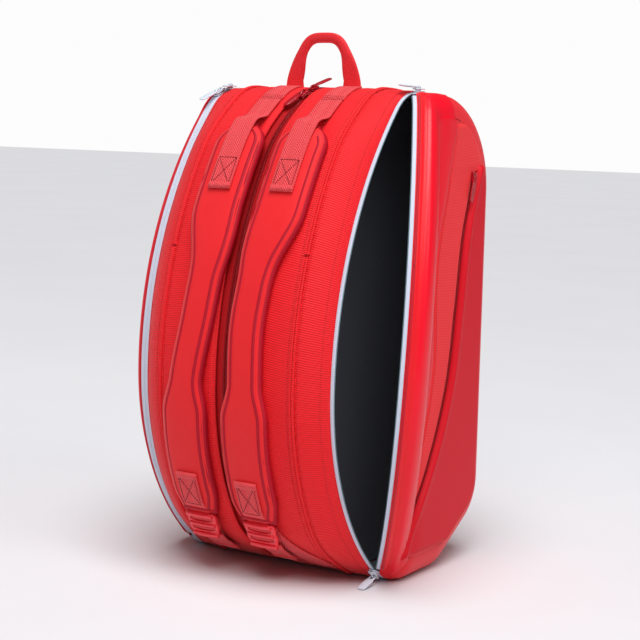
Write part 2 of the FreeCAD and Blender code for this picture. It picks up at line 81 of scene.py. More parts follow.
# ---- outline ----
def outline_pieces():
    """Lines and arcs from the middle of the base to the strap side, over the top and down the front."""
    upper = (STRAP_SIDE_Y + UPPER_R, BELLY_Z)
    lower = (STRAP_SIDE_Y + LOWER_R, BELLY_Z)
    upper_turn = asin((SHOULDER_Z - BELLY_Z) / UPPER_R)
    crest_r = (HEIGHT - SHOULDER_Z) / (1 - sin(upper_turn))
    crest = (upper[0] - UPPER_R * cos(upper_turn) + crest_r * cos(upper_turn), HEIGHT - crest_r)
    heel_y = lower[0] - sqrt((LOWER_R - HEEL_R) ** 2 - (BELLY_Z - HEEL_R) ** 2)
    heel_turn = asin((BELLY_Z - HEEL_R) / (LOWER_R - HEEL_R))
    slope_y = SLOPE_START_Y - SLOPE_R * tan(FRONT_SLOPE / 2)
    toe_z = (FRONT_Y - SLOPE_START_Y) * tan(FRONT_SLOPE) + TOE_R * tan((pi / 2 - FRONT_SLOPE) / 2)
    slope_foot = (slope_y + SLOPE_R * sin(FRONT_SLOPE), SLOPE_R * (1 - cos(FRONT_SLOPE)))
    slope_head = (FRONT_Y - TOE_R + TOE_R * sin(FRONT_SLOPE), toe_z - TOE_R * cos(FRONT_SLOPE))
    return [
        ("line", (0.0, 0.0), (heel_y, 0.0)),
        ("arc", (heel_y, HEEL_R), HEEL_R, -pi / 2, -pi + heel_turn),
        ("arc", lower, LOWER_R, -pi + heel_turn, -pi),
        ("arc", upper, UPPER_R, pi, pi - upper_turn),
        ("arc", crest, crest_r, pi - upper_turn, pi / 2),
        ("line", (crest[0], HEIGHT), (FRONT_Y - FRONT_TOP_R, HEIGHT)),
        ("arc", (FRONT_Y - FRONT_TOP_R, HEIGHT - FRONT_TOP_R), FRONT_TOP_R, pi / 2, 0.0),
        ("line", (FRONT_Y, HEIGHT - FRONT_TOP_R), (FRONT_Y, toe_z)),
        ("arc", (FRONT_Y - TOE_R, toe_z), TOE_R, 0.0, -(pi / 2 - FRONT_SLOPE)),
        ("line", slope_head, slope_foot),
        ("arc", (slope_y, SLOPE_R), SLOPE_R, -pi / 2 + FRONT_SLOPE, -pi / 2),
        ("line", (slope_y, 0.0), (0.0, 0.0)),
    ]


PIECES = outline_pieces()


def piece_length(piece):
    if piece[0] == "line":
        return hypot(piece[2][0] - piece[1][0], piece[2][1] - piece[1][1])
    return abs(piece[4] - piece[3]) * piece[2]


LENGTHS = [piece_length(p) for p in PIECES]
STARTS = [sum(LENGTHS[:i]) for i in range(len(PIECES) + 1)]
ROUND = STARTS[-1]
HEEL_S, CREST_S, TOP_S = STARTS[1], STARTS[4], STARTS[5]
FRONT_TOP_S, TOE_S, SLOPE_S = STARTS[6], STARTS[8], STARTS[9]
LOW_SLIDER_S, HIGH_SLIDER_S = HEEL_S + 38, TOP_S - 14
ZIP_BOTTOM_S, ZIP_TOP_S = HEEL_S + 8, TOP_S + 14
STRAP_PANEL_END_S = FRONT_TOP_S + 60
PAD_FOOT_S, PAD_TOP_S, BOX_STITCH_S, YOKE_S = 176.0, 645.0, 556.0, 700.0
LOCK_S, TAIL_END_S, ANCHOR_S, LOCK_L, LOCK_W = 174.0, 98.0, 72.0, 40.0, 46.0
YOKE_SEAM_X, YOKE_SEAM_S = 62.0, 560.0
STRIP_LOW, STRIP_HIGH, POCKET_LOW, POCKET_HIGH = 52.0, 568.0, 34.0, 516.0
PANEL_BEND, WALL_SAG = 42.0, 16.0


def at(s):
    """Point (y, z) and outward normal (ny, nz) at distance s round the outline."""
    s = s % ROUND
    i = max(k for k in range(len(PIECES)) if STARTS[k] <= s + 1e-9)
    piece, t = PIECES[i], (s - STARTS[i]) / LENGTHS[i]
    if piece[0] == "line":
        (y0, z0), (y1, z1) = piece[1], piece[2]
        dy, dz = (y1 - y0) / LENGTHS[i], (z1 - z0) / LENGTHS[i]
        return (y0 + (y1 - y0) * t, z0 + (z1 - z0) * t), (-dz, dy)
    (cy, cz), r, a0, a1 = piece[1:]
    a = a0 + (a1 - a0) * t
    return (cy + r * cos(a), cz + r * sin(a)), (cos(a), sin(a))


def place(s, x, off):
    (y, z), (ny, nz) = at(s)
    return Vector((x, y + ny * off, z + nz * off))


def smooth(t):
    t = min(1.0, max(0.0, t))
    return t * t * (3 - 2 * t)


def ease(d, width):
    """0 at an edge, rising round to 1 at width from it."""
    t = min(1.0, max(0.0, d / width))
    return sqrt(1 - (1 - t) ** 2)


def crown(s, x):
    """How far the body stands off the outline between the two long zips."""
    s = s % ROUND
    strap = CROWN * smooth((s - HEEL_S) / 140) * (1 - 0.86 * smooth((s - CREST_S + 90) / 150))
    front = FRONT_CROWN * smooth((s - FRONT_TOP_S) / 120) * (1 - smooth((s - TOE_S + 80) / 100))
    across = 1 - min(1.0, abs(x) / BODY_HALF) ** 6
    high = strap if s < TOP_S else 0.14 * CROWN * (1 - smooth((s - TOP_S) / 60)) + front
    return high * across


def steps(a, b, size):
    n = max(1, int((b - a) / size + 0.5))
    return [a + (b - a) * k / n for k in range(n + 1)]


# ---- mesh helpers ----
def new_object(name, data):
    made = bpy.data.objects.new(name, data)
    bpy.context.scene.collection.objects.link(made)
    return made


def build(name, verts, faces, uvs, material, flat_shaded=False):
    """Mesh object from millimetre points. uvs holds one (u, v) per face corner, in metres."""
    data = bpy.data.meshes.new(name)
    data.from_pydata([v * MM for v in verts], [], faces)
    layer = data.uv_layers.new(name="weave")
    layer.data.foreach_set("uv", [c for uv in uvs for c in (uv[0] * MM, uv[1] * MM)])
    if not flat_shaded:
        data.shade_smooth()
    data.materials.append(material)
    data.update()
    return new_object(name, data)


def outward(made):
    """Faces turned to the outside of each closed shell."""
    work = bmesh.new()
    work.from_mesh(made.data)
    bmesh.ops.recalc_face_normals(work, faces=work.faces)
    work.to_mesh(made.data)
    work.free()
    return made


def net(name, rows, material, loop=False, ring=False, caps=False, vs=None):
    """Grid of points. loop closes each row, ring joins the last row to the first."""
    n, m = len(rows), len(rows[0])
    span = m if loop else m - 1
    middle = rows[n // 2]
    across = [0.0]
    for j in range(span):
        across.append(across[-1] + (middle[(j + 1) % m] - middle[j]).length)
    half = across[-1] / 2
    if vs is None:
        vs = [0.0]
        for i in range(1, n):
            vs.append(vs[-1] + (rows[i][m // 2] - rows[i - 1][m // 2]).length)
    last = vs[-1] + (vs[-1] - vs[-2])
    faces, uvs = [], []
    for i in range(n if ring else n - 1):
        v1 = vs[i + 1] if i + 1 < n else last
        for j in range(span):
            a, b = i * m + j, i * m + (j + 1) % m
            c, d = ((i + 1) % n) * m + (j + 1) % m, ((i + 1) % n) * m + j
            faces.append((a, b, c, d))
            uvs += [(across[j] - half, vs[i]), (across[j + 1] - half, vs[i]),
                    (across[j + 1] - half, v1), (across[j] - half, v1)]
    if caps:
        for ids in (list(range(m))[::-1], list(range((n - 1) * m, n * m))):
            faces.append(tuple(ids))
            uvs += [(0.0, 0.0)] * m
    made = build(name, [p for row in rows for p in row], faces, uvs, material)
    return outward(made)


def ribbon(name, marks, section, material, ring=False, warp=None):
    """Solid band along the outline. section(s) lists (x, height) round its cross-section."""
    rows = [[place(s, x, off) for x, off in section(s)] for s in marks]
    if warp:
        rows = [[warp(p) for p in row] for row in rows]
    return net(name, rows, material, loop=True, ring=ring, caps=not ring, vs=list(marks))


def slab(x0, x1, low, high, columns, edge=0.5):
    """Cross-section with rounded upper corners: low(x) and high(x) are heights."""
    xs = [x0 + (x1 - x0) * k / columns for k in range(columns + 1)]
    top = [(x0, high(x0) - edge)] + [(x, high(x)) for x in [x0 + edge] + xs[1:-1] + [x1 - edge]]
    top += [(x1, high(x1) - edge)]
    return top + [(x, low(x)) for x in reversed(xs)]


def tube(points, radius, sides=8, flat=1.0, side_axis=None):
    """Points of a swept round or oval cord, as rows. flat scales it along the second axis."""
    rows, count = [], len(points)
    for i, p in enumerate(points):
        run = (points[min(i + 1, count - 1)] - points[max(i - 1, 0)]).normalized()
        hint = side_axis if side_axis else Vector((0.0, 0.0, 1.0))
        if abs(run.dot(hint)) > 0.95:
            hint = Vector((0.0, 1.0, 0.0))
        one = run.cross(hint).normalized()
        two = one.cross(run).normalized()
        angles = [2 * pi * k / sides for k in range(sides)]
        rows.append([p + one * radius * cos(a) + two * radius * flat * sin(a) for a in angles])
    return rows


def rod(name, points, radius, sides, material, flat=1.0, side_axis=None):
    """Closed round or oval rod along points."""
    return net(name, tube(points, radius, sides, flat, side_axis), material, loop=True, caps=True)


def join(name, parts):
    """One object out of several; the first keeps its name and data."""
    with bpy.context.temp_override(active_object=parts[0], selected_editable_objects=parts):
        bpy.ops.object.join()
    parts[0].name = name
    return parts[0]


def stitches(name, paths, material, length=2.6, gap=1.1, radius=0.36):
    """Thread laid along each path of points: short raised stitches with a gap between them."""
    verts, faces, uvs = [], [], []
    for path in paths:
        runs = [(b - a).length for a, b in zip(path, path[1:])]
        total, here = sum(runs), gap / 2

        def point(d):
            for a, b, run in zip(path, path[1:], runs):
                if d <= run or b is path[-1]:
                    return a.lerp(b, min(1.0, d / run) if run else 0.0)
                d -= run

        while here + length < total:
            first = len(verts)
            ends = [point(here), point(here + length / 2), point(here + length)]
            for centre, row, share in zip(ends, tube(ends, radius, sides=5), (0.35, 1.0, 0.35)):
                verts += [centre + (p - centre) * share for p in row]
            for ring in (first, first + 5):
                for j in range(5):
                    a, b = ring + j, ring + (j + 1) % 5
                    faces.append((a, b, b + 5, a + 5))
                    uvs += [(0.0, 0.0)] * 4
            here += length + gap
    return build(name, verts, faces, uvs, material)


def rounded(points, rounds=2):
    """Corner cutting on a closed 2-D outline."""
    for _ in range(rounds):
        out = []
        for (x0, y0), (x1, y1) in zip(points, points[1:] + points[:1]):
            out += [(0.75 * x0 + 0.25 * x1, 0.75 * y0 + 0.25 * y1),
                    (0.25 * x0 + 0.75 * x1, 0.25 * y0 + 0.75 * y1)]
        points = out
    return points


def plate(name, outlines, thick, bevel, material, where, shape=None):
    """Bevelled plate: the first outline is its edge and the others are holes. where places it,
    and shape(x, y) lifts it out of its plane."""
    curve = bpy.data.curves.new(name, "CURVE")
    curve.dimensions, curve.fill_mode = "2D", "BOTH"
    curve.extrude, curve.bevel_depth, curve.bevel_resolution = thick / 2 - bevel, bevel, 2
    curve.offset = -bevel
    for outline in outlines:
        spline = curve.splines.new("POLY")
        spline.points.add(len(outline) - 1)
        for point, (x, y) in zip(spline.points, outline):
            point.co = (x, y, 0, 1)
        spline.use_cyclic_u = True
    holder = new_object(name, curve)
    bpy.context.view_layer.update()
    solid = holder.evaluated_get(bpy.context.evaluated_depsgraph_get())
    data = bpy.data.meshes.new_from_object(solid)
    bpy.data.objects.remove(holder)
    work = bmesh.new()
    work.from_mesh(data)
    bmesh.ops.remove_doubles(work, verts=work.verts, dist=0.01)
    bmesh.ops.triangulate(work, faces=[f for f in work.faces if len(f.verts) > 4])
    layer = work.loops.layers.uv.new("weave")
    for face in work.faces:
        for corner in face.loops:
            corner[layer].uv = (corner.vert.co.x * MM, corner.vert.co.y * MM)
    for v in work.verts:
        lift = shape(v.co.x, v.co.y) if shape else 0.0
        v.co = (where @ Vector((v.co.x, v.co.y, v.co.z + lift))) * MM
    bmesh.ops.recalc_face_normals(work, faces=work.faces)
    work.to_mesh(data)
    work.free()
    data.materials.clear()
    data.materials.append(material)
    return new_object(name, data)


def moved(where, points):
    return [where @ p for p in points]


# ---- materials ----
def linear(rgb):
    return tuple(((c / 255 + 0.055) / 1.055) ** 2.4 if c > 10 else c / 255 / 12.92 for c in rgb) + (1.0,)


class Shader:
    """Node material with a weave or grain signal that drives both its colour and its relief."""

    def __init__(self, name, rough, coat=0.0, sheen=0.0, gleam=0.25):
        self.mat = bpy.data.materials.new(name)
        self.mat.use_nodes = True
        self.tree = self.mat.node_tree
        self.out = self.tree.nodes["Principled BSDF"]
        values = {"Roughness": rough, "Coat Weight": coat, "Coat Roughness": 0.22, "Metallic": 0.0,
                  "Sheen Weight": sheen, "Sheen Roughness": 0.45, "Specular IOR Level": gleam}
        for key, value in values.items():
            self.out.inputs[key].default_value = value

    def feed(self, socket, value):
        """Link another node's output to a socket, or set the socket to a plain value."""
        if isinstance(value, bpy.types.NodeSocket):
            self.tree.links.new(value, socket)
        else:
            socket.default_value = value

    def node(self, kind, **inputs):
        made = self.tree.nodes.new(kind)
        for key, value in inputs.items():
            self.feed(made.inputs[key], value)
        return made

    def math(self, operation, a, b=0.0):
        made = self.tree.nodes.new("ShaderNodeMath")
        made.operation = operation
        for socket, value in zip(made.inputs, (a, b)):
            self.feed(socket, value)
        return made.outputs[0]

    def mix(self, share, one, two):
        made = self.tree.nodes.new("ShaderNodeMix")
        made.data_type = "RGBA"
        for index, value in ((0, share), (6, one), (7, two)):
            self.feed(made.inputs[index], value)
        return made.outputs[2]

    def wave(self, value, pitch):
        return self.half(self.math("SINE", self.math("MULTIPLY", value, 2 * pi / (pitch * MM))))

    def half(self, value):
        return self.math("ADD", self.math("MULTIPLY", value, 0.5), 0.5)

    def noise(self, scale, detail=2.0):
        where = self.tree.nodes.new("ShaderNodeTexCoord").outputs["Object"]
        return self.node("ShaderNodeTexNoise", Vector=where, Scale=scale, Detail=detail).outputs["Fac"]

    def weave(self, kind, pitch):
        uv = self.tree.nodes.new("ShaderNodeUVMap")
        uv.uv_map = "weave"
        split = self.node("ShaderNodeSeparateXYZ", Vector=uv.outputs[0])
        u, v = split.outputs[0], split.outputs[1]
        if kind == "rib":
            return self.wave(self.math("ADD", v, self.math("MULTIPLY", u, 0.12)), pitch)
        if kind == "herringbone":
            return self.wave(self.math("ADD", v, self.math("PINGPONG", u, 0.008)), pitch)
        if kind == "plain":
            return self.math("MULTIPLY", self.wave(u, pitch), self.wave(v, pitch))
        return self.noise(1000.0 / pitch, 3.0)

    def finish(self, light, dark, signal, depth, patch=0.10, strength=0.6):
        """light and dark are the colours of the ridges and the hollows; patch is slow variation."""
        slow = self.noise(7.0, 3.0)
        ground = self.mix(signal, linear(dark), linear(light))
        shade = self.math("ADD", self.math("MULTIPLY", slow, patch), 1 - patch / 2)
        tint = self.node("ShaderNodeVectorMath", Vector=ground)
        tint.operation = "SCALE"
        self.feed(tint.inputs["Scale"], shade)
        self.feed(self.out.inputs["Base Color"], tint.outputs[0])
        fine = self.math("ADD", signal, self.math("MULTIPLY", self.noise(900.0, 2.0), 0.35))
        bump = self.node("ShaderNodeBump", Height=fine, Strength=strength, Distance=depth * MM)
        self.feed(self.out.inputs["Normal"], bump.outputs[0])
        return self.mat


def cloth(name, light, dark, kind, pitch, depth, rough=0.62, sheen=0.12, coat=0.0, **more):
    shader = Shader(name, rough, sheen=sheen, coat=coat, gleam=0.3 if rough > 0.4 else 0.45)
    return shader.finish(light, dark, shader.weave(kind, pitch), depth, **more)


SMOOTH_SKIN = {"sheen": 0.0, "patch": 0.05, "strength": 0.3}
ENAMEL = {"sheen": 0.0, "coat": 0.3}
TWILL = cloth("ribbed_twill", (250, 24, 34), (226, 8, 24), "rib", 2.6, 0.6, patch=0.06, strength=0.7)
STRIP = cloth("side_strip_twill", (255, 52, 56), (238, 28, 40), "rib", 2.0, 0.3, patch=0.06)
STRAP_FACE = cloth("strap_face", (248, 38, 42), (234, 26, 34), "plain", 1.2, 0.2)
WEBBING = cloth("webbing_weave", (255, 92, 96), (228, 40, 52), "herringbone", 3.2, 0.9, strength=0.9)
HANDLE = cloth("handle_weave", (252, 50, 58), (226, 26, 38), "herringbone", 1.9, 0.35)
BINDING = cloth("binding_tape", (206, 0, 40), (150, 0, 22), "rib", 1.3, 0.3, rough=0.6, sheen=0.0)
PIPING = cloth("piping_tape", (220, 6, 38), (180, 0, 24), "rib", 1.3, 0.25, rough=0.5)
CHANNEL = cloth("zip_tape_red", (202, 0, 14), (150, 0, 6), "rib", 1.6, 0.3, rough=0.7, sheen=0.0)
COIL_RED = cloth("zip_coil_red", (184, 6, 24), (140, 0, 12), "grain", 2.0, 0.1, rough=0.36, sheen=0.0)
WHITE_TAPE = cloth("zip_tape_white", (226, 232, 244), (190, 200, 224), "rib", 1.3, 0.25, rough=0.6)
COIL_WHITE = cloth("zip_coil_white", (150, 178, 186), (104, 130, 142), "grain", 2.0, 0.1, rough=0.34,
                   sheen=0.0)
BLACK_TAPE = cloth("lining_binding", (34, 34, 38), (16, 16, 19), "rib", 1.4, 0.25, rough=0.6)
# The lining is painted lighter than its real charcoal: painted light that stands in for the light that does
# not reach inside the bag.
LINING_PAINTED_LIGHT = cloth("foil_lining_painted_light", (112, 114, 122), (84, 86, 94), "plain", 2.4, 0.3, rough=0.38, coat=0.25)
SHELL = cloth("shell_fabric", (250, 16, 36), (238, 8, 28), "plain", 1.1, 0.14, rough=0.46, sheen=0.1,
              coat=0.1)
MOULDED = cloth("moulded_panel_skin", (250, 6, 40), (240, 2, 34), "grain", 1.3, 0.06, rough=0.42, coat=0.14,
                **SMOOTH_SKIN)
POCKET = cloth("pocket_skin", (222, 0, 32), (210, 0, 26), "grain", 1.2, 0.06, rough=0.55, **SMOOTH_SKIN)
THREAD = cloth("dark_thread", (150, 0, 20), (110, 0, 12), "grain", 0.8, 0.1, rough=0.6)
LIGHT_THREAD = cloth("red_thread", (206, 14, 34), (170, 4, 22), "grain", 0.8, 0.1, rough=0.6)
BUCKLE = cloth("buckle_acetal", (250, 44, 58), (240, 34, 48), "grain", 1.6, 0.05, rough=0.28, **ENAMEL)
WHITE_METAL = cloth("white_enamel", (232, 238, 246), (212, 222, 236), "grain", 2.4, 0.05, rough=0.28,
                    **ENAMEL)
RED_METAL = cloth("red_enamel", (196, 12, 36), (160, 4, 24), "grain", 2.4, 0.06, rough=0.3, **ENAMEL)


# ---- placing pieces ----
def fixed(made, body, slot, *nodes):
    """A piece that rides on one body and stands for these nodes."""
    if nodes:
        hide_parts(*nodes)
    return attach(made, body)


LOW_PIVOT = place(LOW_SLIDER_S, PIVOT_X, 0)
HINGE = (place(HIGH_SLIDER_S, PIVOT_X, 0) - LOW_PIVOT).normalized()
ACROSS = Vector((0.0, HINGE.z, -HINGE.y))


def hinged(made, side, slot, *nodes, ahead=25.0, behind=12.0):
    """A piece whose points flank has already bent from the bag to its flap across the line through the
    sliders; here it stands for these nodes and has its transform baked in.
    """
    if nodes:
        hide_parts(*nodes)
    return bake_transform(made)


def name_of(side):
    return "right" if side > 0 else "left"


# ---- body ----
def soft(s, x):
    """Slow unevenness of foam backed cloth."""
    wide, fine = Vector((x / 55, s / 75, 0.3)), Vector((x / 17, s / 24, 4.0))
    return 0.9 * noise.noise(wide) + 0.35 * noise.noise(fine)


def pucker(s, gap):
    """Small folds that fade away from a seam."""
    return 0.42 * exp(-gap / 7.0) * sin(s / 1.9 + 2.2 * noise.noise(Vector((s / 30, gap / 20, 1.0))))


def skin(s, x, seams):
    """Height of the body cloth: crown, unevenness, and a drawn-in line with folds at each seam."""
    high = crown(s, x) + soft(s, x) * min(1.0, (BODY_HALF - abs(x)) / 15)
    for seam in seams:
        gap = abs(abs(x) - seam)
        high += pucker(s, gap) - 1.5 * exp(-(gap / 3.2) ** 2)
    return high


def backed(s, xs, top, side=1):
    """Cross-section of body cloth: the points of its face, then its back the other way."""
    return top + [(side * x, crown(s, x) - PANEL_T) for x in reversed(xs)]


def body_panels():
    for side in (-1, 1):
        def section(s, side=side):
            xs = steps(CHANNEL_HALF, SEAM_X, 3.0)
            seams = (SEAM_X, YOKE_SEAM_X) if s > YOKE_SEAM_S else (SEAM_X,)
            top = [(side * x, skin(s, x, seams) - 2.4 * (1 - ease(x - CHANNEL_HALF, 5))) for x in xs]
            return backed(s, xs, top, side)

        marks = steps(HEEL_S, STRAP_PANEL_END_S, 3.2)
        made = ribbon("strap_side_panel_" + name_of(side), marks, section, TWILL)
        fixed(made, "bag", "twill", "strap_panel_" + name_of(side))

    # the front, the tongue past the central zip's end, and the base, which is plain underneath
    front, tongue = steps(STRAP_PANEL_END_S, SLOPE_S, 4.5), steps(TOP_S - 4, STRAP_PANEL_END_S, 3.5)
    rows = [("front_body_panel", front, SEAM_X, 5.0, (SEAM_X,), ["front_panel"]),
            ("zip_end_tongue", tongue, CHANNEL_HALF, 3.0, (), []),
            ("base_sheet", steps(SLOPE_S, ROUND + HEEL_S, 5.0), SEAM_X, 6.0, None, ["base_panel"])]
    for name, marks, half, size, seams, nodes in rows:
        def section(s, half=half, size=size, seams=seams):
            xs = steps(-half, half, size)
            return backed(s, xs, [(x, crown(s, x) if seams is None else skin(s, x, seams)) for x in xs])

        fixed(ribbon(name, marks, section, TWILL), "bag", "twill", *nodes)


def gussets():
    for side in (-1, 1):
        def section(s, side=side):
            xs = steps(SEAM_X, BODY_HALF, 3.0)
            near_floor = 1 - smooth(at(s)[0][1] / 30)
            top = []
            for x in xs:
                hem = 0.8 * ease(x - (BODY_HALF - 9), 3) * (1 - ease(x - (BODY_HALF - 3), 3))
                high = skin(s, x, (SEAM_X,)) * (1 - near_floor) + crown(s, x) * near_floor
                top.append((side * x, high + hem * (1 - near_floor)))
            return backed(s, xs, top, side)

        made = ribbon("gusset_cloth_" + name_of(side), steps(0, ROUND, 3.2)[:-1], section, TWILL, ring=True)
        fixed(made, "bag", "twill", "gusset_" + name_of(side))


def seam_cords():
    """Two cords side by side on each long seam."""
    parts = []
    for side in (-1, 1):
        for x0 in (SEAM_X - 2.1, SEAM_X + 1.3):
            path = [place(s, side * x0, crown(s, x0) + 0.5) for s in steps(HEEL_S + 20, TOE_S, 4.0)]
            parts.append(rod("cord", path, 1.7, 8, TWILL))
    fixed(join("seam_cords", parts), "bag", "piping", "seam_pipings")
    seam = steps(HEEL_S + 24, TOE_S, 5.0)
    threads = [(SEAM_X - 6.4, (SEAM_X,), 0.2, seam), (SEAM_X + 5.4, (SEAM_X,), 0.2, seam),
               (YOKE_SEAM_X, (YOKE_SEAM_X,), 0.3, steps(YOKE_SEAM_S + 10, STRAP_PANEL_END_S, 4.0)),
               (BODY_HALF - 8, (), 0.9, steps(ZIP_BOTTOM_S, ZIP_TOP_S, 5.0))]
    lines = [[place(s, side * x, skin(s, x, seams) + lift) for s in marks]
             for side in (-1, 1) for x, seams, lift, marks in threads]
    fixed(stitches("seam_stitches", lines, LIGHT_THREAD), "bag", "piping")


def center_zip():
    """Recessed zip between the straps: two tapes with rolled cloth edges and a closed coil."""
    def section(s):
        base = crown(s, 0) - CHANNEL_DEPTH
        half = [(2.6, 1.0), (6.0, 1.3), (10.5, 1.6), (CHANNEL_HALF, 1.2)]
        edge = [(-x, h) for x, h in reversed(half)] + half
        return [(x, base + h) for x, h in edge] + [(CHANNEL_HALF, base), (-CHANNEL_HALF, base)]

    tapes = ribbon("center_zip_tapes", steps(HEEL_S, TOP_S - 4, 4.0), section, CHANNEL)
    fixed(tapes, "bag", "red_tape", "center_zip")
    teeth = []
    for s in steps(HEEL_S + 6, TOP_S - 8, 2.1):
        base = crown(s, 0) - CHANNEL_DEPTH + 1.3
        for side in (-1, 1):
            teeth.append([place(s - 0.7, side * 0.3, base + 0.9), place(s, side * 1.7, base + 1.0),
                          place(s + 1.1, side * 3.0, base + 0.1)])
    parts = [rod("tooth", t, 0.62, 5, COIL_RED) for t in teeth]
    fixed(join("center_zip_coil", parts), "bag", "red_tape")
    lips = []
    for side in (-1, 1):
        path = [place(s, side * (CHANNEL_HALF - 0.4), crown(s, CHANNEL_HALF) - 1.8)
                for s in steps(HEEL_S, TOP_S - 4, 5.0)]
        lips.append(rod("lip", path, 1.5, 7, TWILL))
        wall = [[place(s, side * (CHANNEL_HALF - 0.6), crown(s, CHANNEL_HALF) - d) for d in (1.4, 3.4, 5.6)]
                for s in steps(HEEL_S, TOP_S - 4, 6.0)]
        lips.append(net("wall", wall, CHANNEL))
    fixed(join("center_channel_edges", lips), "bag", "twill")


# ---- long zips ----
def swing_out(p):
    return LOW_PIVOT + Matrix.Rotation(OPEN_ANGLE, 3, HINGE) @ (p - LOW_PIVOT)


def zip_teeth(name, a, b, x, lean, warp, material):
    parts = []
    for s in steps(a, b, 2.2):
        run = [place(s - 0.6, x, -0.9), place(s, x + lean * 0.9, -0.5), place(s + 0.8, x + lean * 0.4, -1.4)]
        run = [warp(p) for p in run] if warp else run
        parts.append(rod("tooth", run, 0.6, 5, material))
    return join(name, parts)


def long_zips():
    for side in (-1, 1):
        word = name_of(side)

        def tape(x0, x1):
            return lambda s: slab(side * x0, side * x1, lambda x: -1.5, lambda x: 0.0, 3, 0.3 * side)

        spans = ((LOW_SLIDER_S, HIGH_SLIDER_S, BODY_HALF + TAPE_W), (HIGH_SLIDER_S, ZIP_TOP_S, SHELL_X),
                 (ZIP_BOTTOM_S, LOW_SLIDER_S, SHELL_X))
        strips = [ribbon("t", steps(a, b, 4.0), tape(BODY_HALF, x), WHITE_TAPE) for a, b, x in spans]
        fixed(join("zip_tape_body_" + word, strips), "bag", "white_tape", "body_zip_" + word)
        edge = [(side * x, h) for x, h in ((134.0, -1.7), (138.4, -1.7), (138.4, -4.2), (134.0, -5.5))]
        marks = steps(LOW_SLIDER_S + 4, HIGH_SLIDER_S - 4, 5.0)
        fixed(ribbon("zip_binding_body_" + word, marks, lambda s: edge, BLACK_TAPE), "bag", "lining")
        teeth = zip_teeth("zip_coil_body_" + word, LOW_SLIDER_S + 6, HIGH_SLIDER_S - 6,
                          side * (BODY_HALF + TAPE_W), side, None, COIL_WHITE)
        fixed(teeth, "bag", "white_tape")

        # the flap's half of the zip lies swung out with it on the right
        warp = swing_out if side > 0 else None
        a, b = LOW_SLIDER_S + 8, HIGH_SLIDER_S - 8
        flap = ribbon("zip_tape_flap_" + word, steps(a, b, 4.0), tape(SHELL_X - TAPE_W, SHELL_X), WHITE_TAPE,
                      warp=warp)
        fixed(flap, word + "_flap", "white_tape", "flap_zip_" + word)
        teeth = zip_teeth("zip_coil_flap_" + word, a + 3, b - 3, side * (SHELL_X - TAPE_W), -side, warp,
                          COIL_WHITE)
        fixed(teeth, word + "_flap", "white_tape")
        out, rise = (2.9, 0.9) if side > 0 else (1.8, -0.6)
        marks = steps(LOW_SLIDER_S + 12, HIGH_SLIDER_S - 12, 4.0)
        path = [place(s, side * (SHELL_X + out), rise) for s in marks]
        path = [warp(p) for p in path] if warp else path
        fixed(rod("rim_cord_" + word, path, 1.7, 8, PIPING), word + "_flap", "piping", "rim_piping_" + word)

    def rolled(x):
        return -0.9 * (1 - ease(min(abs(x) - BODY_HALF, SHELL_X - abs(x)), 3))

    strips = []
    for side in (-1, 1):
        edge = slab(side * BODY_HALF, side * SHELL_X, lambda x: -PANEL_T, rolled, 6, 0.3 * side)
        strips.append(ribbon("b", steps(ZIP_TOP_S, ROUND + ZIP_BOTTOM_S, 5.0), lambda s: edge, PIPING))
    fixed(join("shell_binding_strips", strips), "bag", "piping", "shell_bindings")


# ---- side shells ----
def shell_point(s, a, lift=0.0):
    """Right shell, shut: a is 0 at the rim and a quarter turn on the flat side."""
    off = -RIM_ROUND * (1 - cos(a)) + lift * cos(a)
    return place(s, SHELL_X + (SIDE_X - SHELL_X) * sin(a) + lift * sin(a), off)


def flank(side, p, flat):
    """Take a point of the shut right shell to its side. On the right the part behind the line
    through the sliders stands open; flat is 0 at the rim and 1 on the flat side."""
    if side < 0:
        # the shut compartment is empty and its wall draws in a little behind the zip
        rear = smooth((40 - (p - LOW_PIVOT).dot(ACROSS)) / 80) * smooth((p.x - SHELL_X - 0.5) / 5)
        return Vector((-p.x, p.y, p.z)) + ACROSS * (WALL_SAG * rear)
    half = 4 + 36 * flat
    behind = smooth((half - (p - LOW_PIVOT).dot(ACROSS)) / (2 * half))
    return LOW_PIVOT + Matrix.Rotation(OPEN_ANGLE * behind, 3, HINGE) @ (p - LOW_PIVOT)


def level_edge(first, last, inset):
    """(z, y) pairs along the outline from first to last, taken in by inset."""
    pairs = [place(s, 0, -inset) for s in steps(first, last, 2.0)]
    return sorted((p.z, p.y) for p in pairs)


def across_at(pairs, z):
    """y of an edge at height z."""
    for (z0, y0), (z1, y1) in zip(pairs, pairs[1:]):
        if z0 <= z <= z1 and z1 > z0:
            return y0 + (y1 - y0) * (z - z0) / (z1 - z0)
    return pairs[0][1] if z < pairs[0][0] else pairs[-1][1]


def through(points):
    """Smooth curve y(z) through (y, z) points given from the top down."""
    ordered = sorted((z, y) for y, z in points)
    zs, ys = [p[0] for p in ordered], [p[1] for p in ordered]
    slopes = []
    for i in range(len(zs)):
        lo, hi = max(0, i - 1), min(len(zs) - 1, i + 1)
        slopes.append((ys[hi] - ys[lo]) / (zs[hi] - zs[lo]))

    def value(z):
        z = min(zs[-1], max(zs[0], z))
        i = max(k for k in range(len(zs) - 1) if zs[k] <= z)
        h = zs[i + 1] - zs[i]
        t = (z - zs[i]) / h
        return ((2 * t ** 3 - 3 * t ** 2 + 1) * ys[i] + (t ** 3 - 2 * t ** 2 + t) * h * slopes[i]
                + (-2 * t ** 3 + 3 * t ** 2) * ys[i + 1] + (t ** 3 - t ** 2) * h * slopes[i + 1])
    return value


STRIP_EDGE = through([(58, 566), (38, 490), (14, 390), (14, 260), (-20, 150), (-92, 36)])
POCKET_EDGE = through([(112, 512), (84, 430), (70, 340), (50, 235), (4, 135), (-76, 24)])
REAR = level_edge(0, TOP_S, SIDE_INSET)
FRONT = level_edge(TOP_S, ROUND, SIDE_INSET)


def rear_edge(z):
    return across_at(REAR, z)


def front_edge(z):
    return across_at(FRONT, z)


